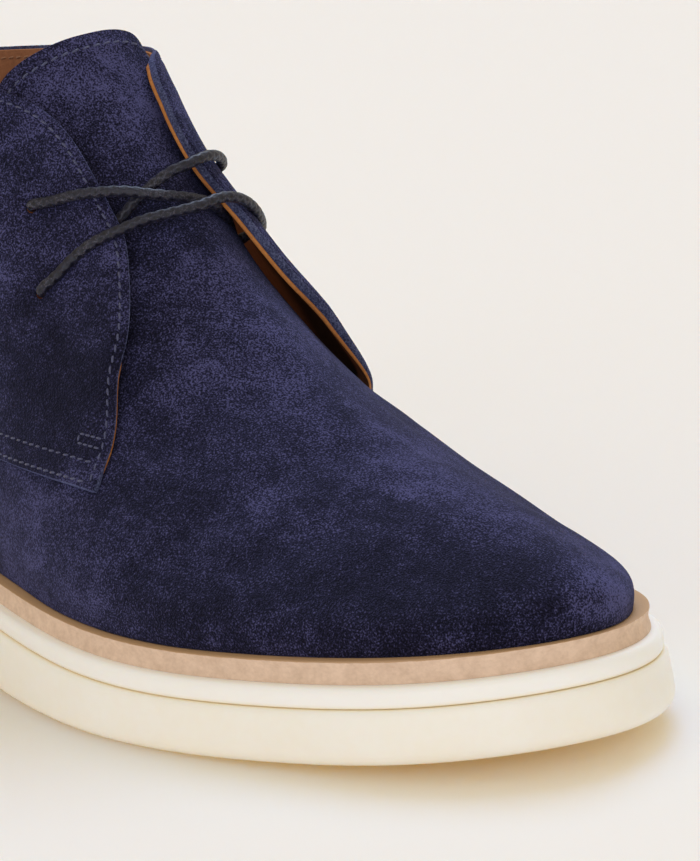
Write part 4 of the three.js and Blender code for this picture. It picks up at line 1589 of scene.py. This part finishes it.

# Painted light and shade on the suede, with some of the nap's own lighter and darker patches: painted light
# on the upper right of the vamp and tongue, painted shade low on the sides and in strips beside the facings,
# painted highlights along the lateral facing's edge: (lap, row, width, amount).
VAMP_LIGHT_AND_NAP_SPOTS = (
    (0.318, 1.7, 24, -0.24), (0.37, 1.1, 22, -0.20), (0.421, 1.8, 20, -0.30), (0.474, 2.3, 14, -0.26),
    (0.484, 2.7, 7, -0.14), (0.309, 0.9, 8, -0.14), (0.39, 2.8, 13, -0.10), (0.519, 5.97, 16, 0.20),
    (0.475, 5.15, 14, 0.10), (0.492, 4.3, 15, 0.30), (0.505, 3.5, 10, 0.16), (0.519, 0.97, 9, 0.34),
    (0.51, 2.0, 7, 0.16), (0.429, 9.64, 13, 0.10), (0.494, 9.71, 12, 0.10), (0.454, 7.67, 9, -0.20),
    (0.435, 6.6, 12, -0.04), (0.522, 8.96, 8, 0.24), (0.50, 8.3, 7, 0.14), (0.368, 5.55, 5, -0.26),
    (0.385, 6.2, 5, -0.22), (0.352, 4.8, 5, -0.16), (0.420, 7.1, 4, -0.16),
)
LATERAL_LIGHT_AND_NAP_SPOTS = (
    (0.309, 5.27, 18, -0.26), (0.351, 5.46, 17, -0.24), (0.274, 3.7, 14, -0.22), (0.347, 6.81, 12, -0.10),
    (0.324, 7.3, 9, 0.12), (0.31, 6.4, 7, 0.10), (0.432, 8.05, 2.6, 0.34), (0.424, 7.63, 2.6, 0.40),
    (0.415, 7.15, 2.6, 0.26), (0.39, 7.3, 9, 0.06),
)
MEDIAL_LIGHT_AND_NAP_SPOTS = ((0.42, 8.0, 40, -0.08),)


def main() -> None:
    """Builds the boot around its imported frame."""
    logging.basicConfig(level=logging.INFO, format="%(name)s: %(message)s")
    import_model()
    View().build()
    finishes = Finishes()
    Studio().build(finishes.paper)
    shape = SoleShape()
    shape.settle()
    last = Last(shape)
    skin = Skin(last)
    Sole(shape, finishes).build()
    Insole(last, finishes).build()
    vamp = Vamp(skin, finishes, VAMP_LIGHT_AND_NAP_SPOTS)
    vamp.build()
    quarters = [
        Quarter(Side.LATERAL, skin, finishes, LATERAL_HEM, LATERAL_FACING, LATERAL_COLLAR, LATERAL_FLARE,
                ((0.339, 6.5), (0.363, 7.7)), light_and_nap_spots=LATERAL_LIGHT_AND_NAP_SPOTS),
        Quarter(Side.MEDIAL, skin, finishes, MEDIAL_HEM, MEDIAL_FACING, MEDIAL_COLLAR, MEDIAL_FLARE,
                ((0.370, 6.92), (0.415, 7.9)), flare_reach=0.2, lip=1.3, shortfall=((0.0, 0.0), (1.0, -0.1)),
                lining_back=0.4, lining_punch=1.8, light_and_nap_spots=MEDIAL_LIGHT_AND_NAP_SPOTS),
    ]
    sewn = vamp.stitches()
    lined = []
    for quarter in quarters:
        quarter.build()
        sewn += quarter.stitches()
        lined += quarter.lining_stitches()
    for name, parts, thread in (("suede_stitches", sewn, finishes.thread),
                                ("lining_stitches", lined, finishes.lining_thread)):
        piece = join_parts(name, parts)
        dress(piece, thread)
        fit(piece, "suede")
    Lace(last, finishes).build()


if __name__ == "__main__":
    main()
